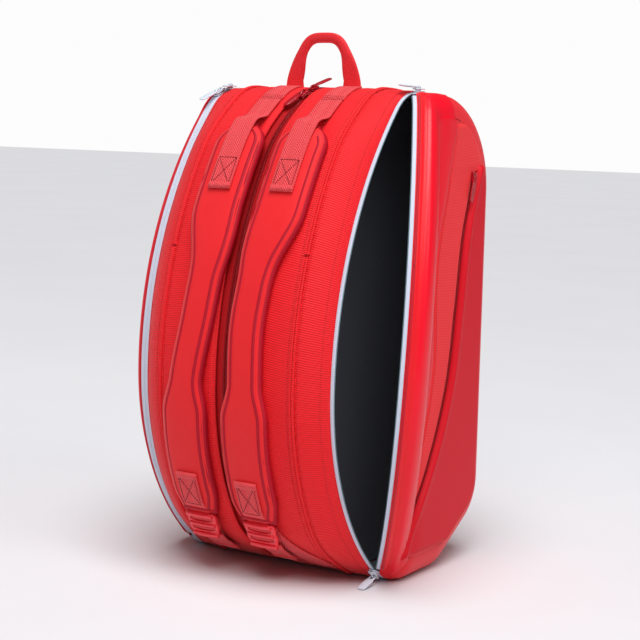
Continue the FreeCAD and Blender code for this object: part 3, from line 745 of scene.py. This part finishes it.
def field(name, side, z0, z1, left, right, high, material, columns=18, size=4.0):
    """Part of the flat side between two curves y(z). high(d, y, z) is its height where d is the
    distance to its nearest edge."""
    rows = []
    for z in steps(z0, z1, size):
        y0 = left(z)
        y1 = max(right(z), y0 + 0.8)
        row = []
        for k in range(columns + 1):
            t = 0.5 - 0.5 * cos(pi * k / columns)
            y = y0 + (y1 - y0) * t
            d = min(y - y0, y1 - y, z - z0, z1 - z)
            row.append(flank(side, Vector((SIDE_X + high(d, y, z), y, z)), 1.0))
        rows.append(row)
    return net(name, rows, material)


def side_shells():
    for side in (-1, 1):
        word = name_of(side)
        turns = [radians(d) for d in (0, 6, 12, 17, 21, 25, 30, 38, 46, 55, 64, 73, 82, 90)]

        def lift(a):
            return -2.2 * exp(-((a - radians(21)) / radians(3.4)) ** 2) + 1.3 * sin(2 * a) ** 2

        ring = steps(0, ROUND, 4.0)[:-1]
        rows = [[flank(side, shell_point(s, a, lift(a)), sin(a)) for a in turns] for s in ring]
        outer = net("outer", rows, SHELL, ring=True, vs=ring)
        low, high = SIDE_INSET + 0.2, HEIGHT - SIDE_INSET - 0.2
        cap = field("cap", side, low, high, rear_edge, front_edge, lambda d, y, z: 0.0, SHELL, 30, 5.0)
        made = join("shell_skin_" + word, [outer, cap])
        hinged(made, side, "shell_fabric", "side_shell_" + word, "rear_flap_" + word)

        # The lining inside the shell is painted paler than its real charcoal, as painted light for the dark
        # interior.
        inside = []
        inner = [radians(d) for d in (0, 20, 40, 60, 75, 90)]
        profile = [(sin(a), SHELL_X - 1 + (SIDE_X - SHELL_X - SHELL_T + 1) * sin(a),
                    -SHELL_T - (RIM_ROUND - SHELL_T) * (1 - cos(a))) for a in inner]
        rows = [[flank(side, place(s, x, off), flat) for flat, x, off in profile] for s in ring]
        inside.append(net("in", rows, LINING_PAINTED_LIGHT, ring=True, vs=ring))
        lip = [[flank(side, place(s, SHELL_X - 1, h), 0.0) for h in (-SHELL_T, -3.0, -0.6)] for s in ring]
        inside.append(net("lip", lip, BLACK_TAPE, ring=True, vs=ring))
        inside.append(field("cap", side, low, high, rear_edge, front_edge, lambda d, y, z: -SHELL_T, LINING_PAINTED_LIGHT,
                            30, 6.0))
        hinged(join("shell_lining_" + word, inside), side, "lining")


def on_side(made, side, slot, *nodes):
    """A piece on the flat side, handed to hinged as it is."""
    return hinged(made, side, slot, *nodes, ahead=32.0, behind=14.0)


def moulded_panels():
    """Glossy moulded face: it starts on the shell's round edge and tapers to the bottom."""
    start, quarter = radians(27), pi / 2
    turns = [start + (quarter - start) * k / 9 for k in range(10)]
    first, last = HEEL_S + 30, FRONT_TOP_S + 10
    marks = steps(first, last, 3.0)
    bend = PANEL_BEND * (quarter - start) / quarter
    for side in (-1, 1):
        rows = []
        for s in marks:
            edge = shell_point(s, quarter)
            goal_z = min(edge.z, 560.0)
            goal_y = max(STRIP_EDGE(goal_z) - 4, edge.y + 1.0)
            reach = hypot(goal_y - edge.y, goal_z - edge.z)
            total, ends = bend + reach, min(s - first, last - s)

            def height(run):
                return PANEL_RISE * ease(run, 6) * ease(total - run, 5) * ease(ends, 14) - 0.4

            line = [flank(side, shell_point(s, a, height(bend * (a - start) / (quarter - start))), sin(a))
                    for a in turns]
            for t in [k / 18 for k in range(1, 19)]:
                run = bend + reach * t
                high = height(run) + 0.5 * sin(pi * min(1.0, run / total))
                line.append(flank(side, Vector((SIDE_X + high, edge.y + (goal_y - edge.y) * t,
                                                edge.z + (goal_z - edge.z) * t)), 1.0))
            rows.append(line)
        made = net("moulded_face_" + name_of(side), rows, MOULDED, vs=marks)
        on_side(made, side, "coated_panel", "moulded_panel_" + name_of(side))


def side_dressing():
    for side in (-1, 1):
        word = name_of(side)
        strip = field("twill_side_strip_" + word, side, STRIP_LOW, STRIP_HIGH, lambda z: STRIP_EDGE(z) - 4,
                      lambda z: min(POCKET_EDGE(z) - 8 + max(0.0, 3 * (z - POCKET_HIGH + 10)), front_edge(z)),
                      lambda d, y, z: 0.3 + 1.9 * ease(d, 4), STRIP, 16, 3.0)
        on_side(strip, side, "twill", "twill_strip_" + word)
        lines = []
        for shift, curve, top in ((-1.2, STRIP_EDGE, STRIP_HIGH - 66), (-10.2, POCKET_EDGE, 424.0)):
            lines.append([flank(side, Vector((SIDE_X + 2.2, curve(z) + shift, z)), 1.0)
                          for z in steps(STRIP_LOW + 14, top, 4.0)])
        on_side(stitches("strip_stitches_" + word, lines, LIGHT_THREAD), side, "piping")

        # recessed zip along the pocket's edge, with its coil
        tape = field("pocket_zip_tape_" + word, side, POCKET_LOW + 6, POCKET_HIGH - 8,
                     lambda z: POCKET_EDGE(z) - 8, POCKET_EDGE, lambda d, y, z: 0.5, CHANNEL, 6, 4.0)
        on_side(tape, side, "red_tape", "pocket_zip_" + word)
        parts = []
        for z in steps(POCKET_LOW + 10, POCKET_HIGH - 10, 2.2):
            y = POCKET_EDGE(z) - 4
            for turn in (-1, 1):
                turns = ((1.5, 0.3, -0.6), (1.5, 1.4, 0.0), (0.8, 2.4, 0.9))
                run = [flank(side, Vector((SIDE_X + dx, y + turn * dy, z + dz)), 1.0) for dx, dy, dz in turns]
                parts.append(rod("tooth", run, 0.5, 5, COIL_RED))
        on_side(join("pocket_zip_coil_" + word, parts), side, "red_tape")

        # pocket face with a raised edge along its zip
        def face(d, y, z):
            ridge = 1.6 * exp(-((y - POCKET_EDGE(z) - 6) / 4.0) ** 2)
            return min(POCKET_RISE, (POCKET_RISE - 2) * ease(d, 6) + ridge * ease(d, 5))

        pocket = field("pocket_face_" + word, side, POCKET_LOW, POCKET_HIGH, POCKET_EDGE,
                       lambda z: front_edge(z) + 0.4, face, POCKET, 26, 3.5)
        on_side(pocket, side, "coated_panel", "side_pocket_" + word)

        # bound end of the zip
        end = [(-4, -5), (4, -5), (4, 5), (-4, 5)]
        spot = Vector((SIDE_X + 1.6, POCKET_EDGE(46) - 3.5, 46))
        spot = flank(side, spot, 1.0) if side > 0 else Vector((-spot.x, spot.y, spot.z))
        where = axes_at(spot, Vector((0, side, 0)), Vector((0, 0, 1)))
        fixed(plate("pocket_zip_end_" + word, [rounded(end)], 1.4, 0.4, BINDING, where), "bag", "piping")


# ---- straps ----
def strap_middle(side, s):
    apart = 44 - 8 * smooth((s - 320) / 100) + 9 * smooth((s - 470) / 70)
    return side * apart - 11 + 19 * smooth((s - 230) / 360)


def strap_half(s):
    """Wide at the shoulder, narrow at the waist, wide again above the buckle."""
    shoulder = 11 * smooth((s - 450) / 80)
    foot = 9 * (1 - smooth((s - 300) / 40))
    round_top = sqrt(max(0.0, 1 - max(0.0, (s - PAD_TOP_S + 30) / 30) ** 2))
    taper = 7 * (1 - smooth((s - PAD_FOOT_S) / 30))
    return (23 + shoulder + foot) * max(0.45, round_top) - taper


def pad_top(side, s, x):
    """Height of a strap pad's upper face: crowned, and thin at its bound edge."""
    t = min(1.0, abs(x - strap_middle(side, s)) / strap_half(s))
    ends = ease(min(s - PAD_FOOT_S, PAD_TOP_S - s), 12)
    full = PAD_T - 0.6 - 3.4 * t ** 4 - 0.6 * t ** 2
    uneven = 0.25 * noise.noise(Vector((x / 14, s / 20, 8 * side)))
    return crown(s, x) + STRAP_GAP + 5.5 + (full - 5.5) * ends + uneven


def strap_cushion(side):
    def section(s):
        mid, half = strap_middle(side, s), strap_half(s) - 1.2
        xs = [mid + half * (-1 + 2 * k / 18) for k in range(19)]
        under = [(x, crown(s, x) + STRAP_GAP + 0.4) for x in reversed(xs)]
        return [(x, pad_top(side, s, x)) for x in xs] + under

    word = name_of(side)
    made = ribbon("strap_cushion_" + word, steps(PAD_FOOT_S + 1, PAD_TOP_S - 1, 3.0), section, STRAP_FACE)
    fixed(made, word + "_strap", "strap_face", "strap_pad_" + word)


def strap_binding(side):
    """A folded tape with two ridges right round the edge of a pad. In its profile, q is the
    distance in from the edge and h the height."""
    def rim(s, u):
        return (s, strap_middle(side, s) + strap_half(s) * u)

    marks, word = steps(PAD_FOOT_S, PAD_TOP_S, 3.0), name_of(side)
    path = [rim(s, 1) for s in marks] + [rim(PAD_TOP_S, 1 - k / 5) for k in range(1, 10)]
    path += [rim(s, -1) for s in reversed(marks)] + [rim(PAD_FOOT_S, k / 5 - 1) for k in range(1, 10)]
    profile = [(0.0, 0.8), (-1.2, 2.8), (-1.0, 6.2), (0.8, 8.6), (3.0, 9.6), (4.6, 8.3), (6.2, 10.0),
               (8.6, 10.2), (9.8, 8.6)]
    rows, thread = [], []
    for i, (s, x) in enumerate(path):
        (s0, x0), (s1, x1) = path[i - 2], path[(i + 2) % len(path)]
        run = hypot(s1 - s0, x1 - x0) or 1.0
        in_s, in_x = (x1 - x0) / run, -(s1 - s0) / run
        base = crown(s, x) + STRAP_GAP
        row = []
        for q, h in profile:
            qs, qx = min(PAD_TOP_S, max(PAD_FOOT_S, s + in_s * q)), x + in_x * q
            rise = max(0.0, pad_top(side, qs, qx) - crown(qs, qx) - STRAP_GAP - 9.2) if q > 3 else 0.0
            row.append(place(qs, qx, base + min(h + rise, PAD_T)))
        row.append(place(s, x + in_x * 8, base + 0.6))
        rows.append(row)
        thread.append(row[4] + (row[5] - row[4]) * 0.3)
    made = net("strap_binding_" + word, rows, BINDING, loop=True, ring=True)
    fixed(made, word + "_strap", "piping")
    made = stitches("strap_binding_stitches_" + word, [thread], LIGHT_THREAD)
    fixed(made, word + "_strap", "piping")


def strap_pads():
    for side in (-1, 1):
        strap_cushion(side)
        strap_binding(side)


def on_pad(s, x):
    """Height of webbing that lies on a pad and runs down to the bag past the pad's top."""
    down = smooth((s - PAD_TOP_S - 1) / 22)
    high = crown(s, x) + STRAP_GAP + PAD_T
    return high * (1 - down) + (crown(s, x) + STRAP_GAP) * down + LAY


def box_stitch(side, s0, s1, half, height):
    """Stitched rectangle with a cross in it."""
    def spot(s, u):
        x = strap_middle(side, s) + half * u
        return place(s, x, height(s, x))

    def line(a, b):
        (s, u), (ds, du) = a, (b[0] - a[0], b[1] - a[1])
        return [spot(s + ds * k / 12, u + du * k / 12) for k in range(13)]

    corners = [(s0, -1), (s1, -1), (s1, 1), (s0, 1)]
    lines = [line(a, b) for a, b in zip(corners, corners[1:] + corners[:1])]
    return lines + [line(corners[0], corners[2]), line(corners[1], corners[3])]


def webbing(name, a, b, middle, half, height):
    """Webbing from a to b along the outline. height(s, x) is the height of its lower face."""
    def section(s):
        mid = middle(s)
        return slab(mid - half, mid + half, lambda x: height(s, x), lambda x: height(s, x) + WEBBING_T, 8)

    return ribbon(name, steps(a, b, 3.0), section, WEBBING)


def cross_lines(marks, middle, lift):
    """Lines of thread across webbing that lies on the bag."""
    return [[place(s, middle(s) + 15 * u / 6, crown(s, middle(s) + 15 * u / 6) + LAY + WEBBING_T + lift)
             for u in range(-6, 7)] for s in marks]


def strap_webbings():
    for side in (-1, 1):
        word = name_of(side)
        body = word + "_strap"

        def middle(s):
            return strap_middle(side, s)

        top = webbing("a", BOX_STITCH_S, YOKE_S - 2, middle, 16, on_pad)
        hem = webbing("b", BOX_STITCH_S + 0.3, BOX_STITCH_S + 7, middle, 15.6,
                      lambda s, x: on_pad(s, x) + 1.1)
        made = join("shoulder_webbing_" + word, [top, hem])
        fixed(made, body, "webbing", "strap_top_webbing_" + word)
        lines = box_stitch(side, BOX_STITCH_S + 5, BOX_STITCH_S + 38, 13,
                           lambda s, x: on_pad(s, x) + WEBBING_T + 0.25)

        yoke = webbing("yoke_webbing_" + word, YOKE_S, TOP_S - 13, middle, 16, lambda s, x: crown(s, x) + LAY)
        fixed(yoke, "bag", "webbing", "strap_yoke_" + word)
        across = cross_lines((YOKE_S + 3, YOKE_S + 6), middle, 0.25)
        fixed(stitches("yoke_stitches_" + word, across, THREAD), "bag", "piping")

        # webbing that carries the ladder lock, boxed to the foot of the pad
        def holder(s, x):
            return crown(s, x) + STRAP_GAP + 6.5 + (PAD_T - 6) * smooth((s - LOCK_S + 2) / 26)

        low = webbing("c", LOCK_S - 4, LOCK_S + 58, middle, 15.5, holder)
        fold = webbing("d", LOCK_S + 51, LOCK_S + 57.6, middle, 15.1, lambda s, x: holder(s, x) + 1.1)
        fixed(join("lock_webbing_" + word, [low, fold]), body, "webbing")
        lines += box_stitch(side, LOCK_S + 18, LOCK_S + 53, 12.5,
                            lambda s, x: holder(s, x) + WEBBING_T + 0.25)
        boxes = stitches("box_stitches_" + word, lines, THREAD, length=3.0, gap=0.7, radius=0.62)
        fixed(boxes, body, "piping")


def lower_webbings():
    """Adjuster tail under the lock, and the fixed webbing that runs out to the seam."""
    for side in (-1, 1):
        word = name_of(side)

        def tail_height(s, x):
            return crown(s, x) + STRAP_GAP + 5.2 - 1.5 * smooth((LOCK_S - LOCK_L - s) / 20) + 0.6 * sin(s / 9)

        def middle(s):
            return strap_middle(side, s)

        tail = webbing("a", TAIL_END_S, LOCK_S - LOCK_L + 6, middle, 16.5, tail_height)
        hem = webbing("b", TAIL_END_S, TAIL_END_S + 9, middle, 16.2, lambda s, x: tail_height(s, x) + 1.2)
        made = join("adjuster_tail_" + word, [tail, hem])
        fixed(made, word + "_lock", "webbing", "webbing_tail_" + word)

        def run(s):
            reach = smooth((LOCK_S - 2 - s) / (LOCK_S - 14 - ANCHOR_S))
            start, goal = strap_middle(side, LOCK_S), side * (SEAM_X - 23)
            return start + (goal - start) * reach

        lower = webbing("anchor_webbing_" + word, ANCHOR_S, LOCK_S - 8, run, 17,
                        lambda s, x: crown(s, x) + LAY + 0.5 * sin((s - ANCHOR_S) / 11) ** 2)
        fixed(lower, "bag", "webbing", "lower_webbing_" + word)
        lines = cross_lines((ANCHOR_S + 4, ANCHOR_S + 8), run, 0.8)
        fixed(stitches("anchor_stitches_" + word, lines, THREAD), "bag", "piping")


# ---- hardware ----
def axes_at(origin, x_axis, y_axis):
    x, y = x_axis.normalized(), y_axis.normalized()
    columns = (x, y, x.cross(y), origin)
    return Matrix([[c[i] for c in columns] for i in range(3)] + [[0, 0, 0, 1]])


def frame_at(s, x, off):
    """Local X along the bag's X, local Y up the outline, local Z outward."""
    ny, nz = at(s)[1]
    return axes_at(place(s, x, off), Vector((1, 0, 0)), Vector((0, nz, -ny)))


def side_frame(y, z, turn, x):
    up = Vector((0, sin(radians(turn)), cos(radians(turn))))
    out = Vector((1 if x > 0 else -1, 0, 0))
    return axes_at(Vector((x, y, z)), up.cross(out), up)


def mirror_points(points):
    """Closed outline symmetrical about x = 0, from its right half given top to bottom."""
    return points + [(-x, y) for x, y in reversed(points) if abs(x) > 0.01]


def slider_body(name, size, material, where):
    wide, long, high = size
    w, h = wide / 2, long / 2
    head = mirror_points([(0.0, h * 0.82), (w * 0.42, h), (w * 0.92, h * 0.98), (w, h * 0.62),
                          (w * 0.86, h * 0.05), (w * 0.66, -h * 0.6), (w * 0.62, -h), (0.0, -h)])
    core = mirror_points([(0.0, h * 0.7), (w * 0.3, h * 0.6), (w * 0.34, -h * 0.3), (0.0, -h * 0.8)])
    parts = []
    for edge, thick, bevel, z in ((head, 1.5, 0.5, high - 0.75), (head, 1.3, 0.4, 0.65),
                                  (core, high - 1.6, 0.2, high / 2)):
        raised = where @ Matrix.Translation((0, 0, z))
        parts.append(plate("p", [rounded(edge)], thick, bevel, material, raised))
    reach = long * 0.36
    turns = [pi * k / 12 for k in range(13)]
    arch = [Vector((0, -reach * cos(t), high + 2.6 * sin(t) ** 0.6)) for t in turns]
    parts.append(rod("p", moved(where, arch), 0.8, 8, material, 1.4, where.to_3x3() @ Vector((1, 0, 0))))
    for x in (-w * 0.55, w * 0.55):
        turns = [2 * pi * k / 10 for k in range(10)]
        dome = [[where @ Vector((x + r * cos(t), h * 0.62 + r * sin(t), high + z)) for t in turns]
                for r, z in ((0.8, -0.1), (0.75, 0.15), (0.45, 0.28), (0.1, 0.34))]
        parts.append(net("p", dome, material, loop=True))
    return join(name, parts)


def puller_tag(name, size, bridge_reach, material, where):
    wide, long, thick = size
    w = wide / 2
    neck = w * 0.72
    edge = mirror_points([(neck * 0.8, 1.1), (neck, -1.0), (neck, -bridge_reach - 1.2),
                          (w, -bridge_reach - 4.0), (w, -long * 0.86), (w * 0.7, -long), (0.01, -long)])
    eye = mirror_points([(0.01, -0.6), (neck - 1.3, -0.9), (neck - 1.3, -bridge_reach - 0.4),
                         (0.01, -bridge_reach - 0.9)])
    parts = [plate("p", [rounded(edge), rounded(eye, 1)], thick * 0.8, 0.35, material, where)]
    face = mirror_points([(0.01, -bridge_reach - 4.6), (w - 1.6, -bridge_reach - 5.4),
                          (w - 1.6, -long * 0.84), (w * 0.5, -long + 1.7), (0.01, -long + 1.5)])
    parts.append(plate("p", [rounded(face)], thick, 0.3, material, where))
    for k in range(6):
        y = -bridge_reach - 8.5 - k * (long - bridge_reach - 14) / 6
        bar = [(-w + 2.6, y - 0.5), (w - 2.6, y - 0.5), (w - 2.6, y + 0.5), (-w + 2.6, y + 0.5)]
        parts.append(plate("p", [rounded(bar, 1)], thick + 0.5, 0.2, material, where))
    pin = [Vector((-neck + 0.6, 0, 0)), Vector((0, 0, 0)), Vector((neck - 0.6, 0, 0))]
    parts.append(rod("p", moved(where, pin), 0.75, 8, material))
    return join(name, parts)


def center_lift(s):
    return crown(s, 0) + 1.5 + 1.6 - CHANNEL_DEPTH + 2 * FIT


def zip_hardware():
    white, red = ((12.0, 17.0, 4.2), (11.0, 32.0, 1.8)), ((11.0, 15.0, 3.8), (9.0, 32.0, 1.8))
    pocket = (96.5, 500.0, 18.9)    # y, z and lean in degrees
    rows = [
        ("right_upper", frame_at(HIGH_SLIDER_S + 15, PIVOT_X, FIT), white, -4, -14),
        ("right_lower", frame_at(LOW_SLIDER_S, PIVOT_X, 1.5 * FIT), white, -124, 0),
        ("left_upper", frame_at(TOP_S - 4, -PIVOT_X, FIT), white, 1, 25),
        ("left_lower", frame_at(TOP_S - 28, -PIVOT_X, FIT), white, 1, -14),
        ("center_upper", frame_at(TOP_S - 18, 0, center_lift(TOP_S - 18)), red, -176, -15),
        ("center_lower", frame_at(TOP_S - 40, 0, center_lift(TOP_S - 40)), red, -3, -16),
        ("right_pocket", side_frame(*pocket, SIDE_X + 1.6 + FIT), red, 0, 0),
        ("left_pocket", side_frame(*pocket, -SIDE_X - 1.6 - FIT), red, 0, 0),
    ]
    for name, where, (body, tag), turn, spin in rows:
        slot, material = ("white_metal", WHITE_METAL) if body == white[0] else ("red_metal", RED_METAL)
        slider = slider_body(name + "_slider_body", body, material, where)
        rides = name + "_slider" if name + "_slider" in frame["bodies"] else "bag"
        fixed(slider, rides, slot, name + "_slider")
        tipped = Matrix.Rotation(radians(spin), 4, "Z") @ Matrix.Rotation(radians(turn), 4, "X")
        held = where @ Matrix.Translation((0, 0, body[2] + 1.2)) @ tipped
        puller = puller_tag(name + "_tag", tag, body[1] * 0.36, material, held)
        fixed(puller, name + "_puller", slot, name + "_puller")


def ladder_locks():
    """Moulded frame with two slots, bowed at the top and scooped at the bottom."""
    w = LOCK_W / 2
    edge = mirror_points([(0.01, 0.0), (w * 0.7, -0.2), (w * 0.97, -2.2), (w, -9), (w * 0.93, -17),
                          (w * 0.98, -24), (w * 0.88, -31), (w * 0.82, -LOCK_L + 1.0), (w * 0.5, -LOCK_L),
                          (0.01, -LOCK_L + 1.6)])
    slots = [[(-w + 6, y), (w - 6, y), (w - 6, y + 7.6), (-w + 6, y + 7.6)] for y in (-15.0, -29.0)]

    def bow(x, y):
        return 1.6 * cos(pi * x / LOCK_W) - 1.6 * smooth((-y - 26) / 14) + 1.0 * ease(y + 6, 6)

    for side in (-1, 1):
        word = name_of(side)
        mid = strap_middle(side, LOCK_S)
        where = frame_at(LOCK_S, mid, crown(LOCK_S, mid) + STRAP_GAP + 4)
        where = where @ Matrix.Rotation(radians(-3), 4, "X") @ Matrix.Translation((0, 3.5, 4.0))
        parts = [plate("p", [rounded(edge)] + [rounded(s, 1) for s in slots], 4.4, 1.4, BUCKLE, where, bow)]
        for y, r in ((-3.8, 3.2), (-18.9, 2.4), (-35.6, 3.4)):
            bar = [Vector((x, y, 2.4 + bow(x, y))) for x in steps(-w + 4, w - 4, 3.0)]
            parts.append(rod("p", moved(where, bar), r, 10, BUCKLE, 0.75, where.to_3x3() @ Vector((0, 0, 1))))
        lock = join("ladder_lock_frame_" + word, parts)
        fixed(lock, word + "_lock", "buckle_plastic", "ladder_lock_" + word)
        rows = [[where @ Vector((x, y, 1.0 + 0.5 * sin(y * 2.2))) for x in steps(-w + 6.6, w - 6.6, 4.0)]
                for y in steps(-LOCK_L + 5, -6, 1.0)]
        fixed(net("lock_threaded_webbing_" + word, rows, WEBBING), word + "_lock", "webbing")


# ---- handle ----
def top_handle():
    """Webbing loop sewn flat into the top seam and folded to half its width for the grip."""
    feet = [(-1.0, 604.0), (-1.0, 609.0), (-1.0, 613.0)]
    rows, marks = [], [(t, z) for t, z in feet] + [(-1 + 2 * k / 72, None) for k in range(73)]
    marks += [(1.0, z) for t, z in reversed(feet)]
    for t, z in marks:
        grip = smooth((1 - abs(t)) / 0.45)
        flare = 0.0 if z is None else (HANDLE_Z - z) / 14
        x = HANDLE_HALF * (t / abs(t)) * abs(t) ** 0.6 if abs(t) > 1e-6 else 0.0
        if z is None:
            z = HANDLE_Z + HANDLE_RISE * (1 - abs(t) ** 2.2)
        run = Vector((1, 0, 0)) if abs(t) < 0.05 else Vector((1 - abs(t) ** 1.5, 0, -1.6 * t)).normalized()
        out = Vector((-run.z, 0, run.x))
        wide, thick = 12.4 - 5.8 * grip + 1.6 * flare, 1.2 + 2.3 * grip + 0.8 * flare
        row = []
        for j in range(24):
            a = 2 * pi * j / 24
            c, d = cos(a), sin(a)
            ax = abs(c) ** (0.35 + 0.4 * grip) * (1 if c >= 0 else -1)
            ay = abs(d) ** 0.6 * (1 if d >= 0 else -1)
            fold = 1 - 0.5 * grip * exp(-((ax + 0.55) / 0.16) ** 2)
            wave = 0.5 * (1 - grip) * sin(ax * 3.0 + t * 9)
            row.append(Vector((x, HANDLE_Y + ay * thick * fold + wave, z)) + out * (ax * wide))
        rows.append(row)
    made = net("handle_webbing", rows, HANDLE, loop=True, caps=True)
    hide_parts("top_handle", "handle_tabs")
    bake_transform(made)
    lines = [[Vector((x + u, HANDLE_Y - 2.9, 610.5)) for u in steps(-11, 11, 4)]
             for x in (-HANDLE_HALF, HANDLE_HALF)]
    fixed(stitches("handle_stitches", lines, THREAD), "bag", "piping")


# ---- what is kept from the design, with cloth of its own ----
def inner_walls():
    shader = Shader("inner_lining_painted_light", 0.4, coat=0.2)
    # Pale grey where the real lining is charcoal: painted light that stands in for the light that does not
    # reach inside the bag.
    made = shader.finish((100, 102, 110), (70, 72, 80), shader.noise(500.0, 3.0), 0.2)
    for node in ("divider_left", "divider_right", "thermal_linings"):
        data = frame["nodes"][node].data
        data.materials.clear()
        data.materials.append(made)


# ---- stage, light and camera ----
def lamp(name, kind, facing, power, spot=(0, 0, 0)):
    """A light at spot that shines along facing."""
    light = bpy.data.lights.new(name, kind)
    light.energy = power
    holder = new_object(name, light)
    holder.location = spot
    holder.rotation_euler = Vector(facing).to_track_quat("-Z", "Y").to_euler()
    return light


def stage_and_light():
    shader = Shader("studio_floor", 0.85)
    pale = shader.finish((226, 226, 229), (220, 220, 224), shader.noise(2.0), 0.01, patch=0.02, strength=0.1)
    bpy.ops.mesh.primitive_plane_add(size=30, location=(0, 0, 0))
    floor = bpy.context.object
    floor.name = "studio_floor"
    floor.data.materials.append(pale)
    lamp("sky_light", "SUN", (-0.18, 0.24, -1.0), 2.9).angle = radians(40)
    for name, spot, goal, size, power in (("front_box", (0.8, -1.9, 2.3), (0, 0, 0.55), 0.9, 11.0),
                                          ("side_box", (-2.2, -0.5, 1.4), (0, 0, 0.35), 1.0, 3.0),
                                          ("right_box", (2.3, -0.5, 2.0), (0.1, 0, 0.4), 0.9, 14.0)):
        lamp(name, "AREA", Vector(goal) - Vector(spot), power, spot).size = size
    world = bpy.data.worlds.new("studio")
    world.use_nodes = True
    tree = world.node_tree
    ground = tree.nodes["Background"].inputs
    ground["Color"].default_value = (1.0, 1.0, 1.0, 1.0)
    path = tree.nodes.new("ShaderNodeLightPath")
    level = tree.nodes.new("ShaderNodeMapRange")
    level.inputs["To Min"].default_value, level.inputs["To Max"].default_value = 0.12, 0.98
    tree.links.new(path.outputs["Is Camera Ray"], level.inputs["Value"])
    tree.links.new(level.outputs[0], ground["Strength"])
    bpy.context.scene.world = world
    bpy.context.scene.view_settings.view_transform = "Standard"


def camera():
    """Three quarters from the strap side, a little above, from two metres away."""
    turn, rise, roll, distance = radians(32.21), radians(7.39), radians(1.34), 2.07134
    target, side_shift, up_shift = Vector((0, 0, 0.302)), -0.00994, -0.00913
    back = Vector((sin(turn) * cos(rise), -cos(turn) * cos(rise), sin(rise)))
    right = Vector((cos(turn), sin(turn), 0))
    up = right.cross(-back)
    level, right = right, cos(roll) * right + sin(roll) * up
    up = -sin(roll) * level + cos(roll) * up
    spot = target + back * distance - right * side_shift - up * up_shift
    lens = bpy.data.cameras.new("studio_camera")
    lens.lens, lens.sensor_width = 90.0, 36.0
    eye = new_object("studio_camera", lens)
    eye.matrix_world = Matrix(((right.x, up.x, back.x, spot.x), (right.y, up.y, back.y, spot.y),
                               (right.z, up.z, back.z, spot.z), (0, 0, 0, 1)))
    bpy.context.scene.camera = eye


camera()
stage_and_light()
for make in (body_panels, gussets, seam_cords, center_zip, long_zips, side_shells, moulded_panels,
             side_dressing, strap_pads, strap_webbings, lower_webbings, zip_hardware, ladder_locks,
             top_handle, inner_walls):
    make()
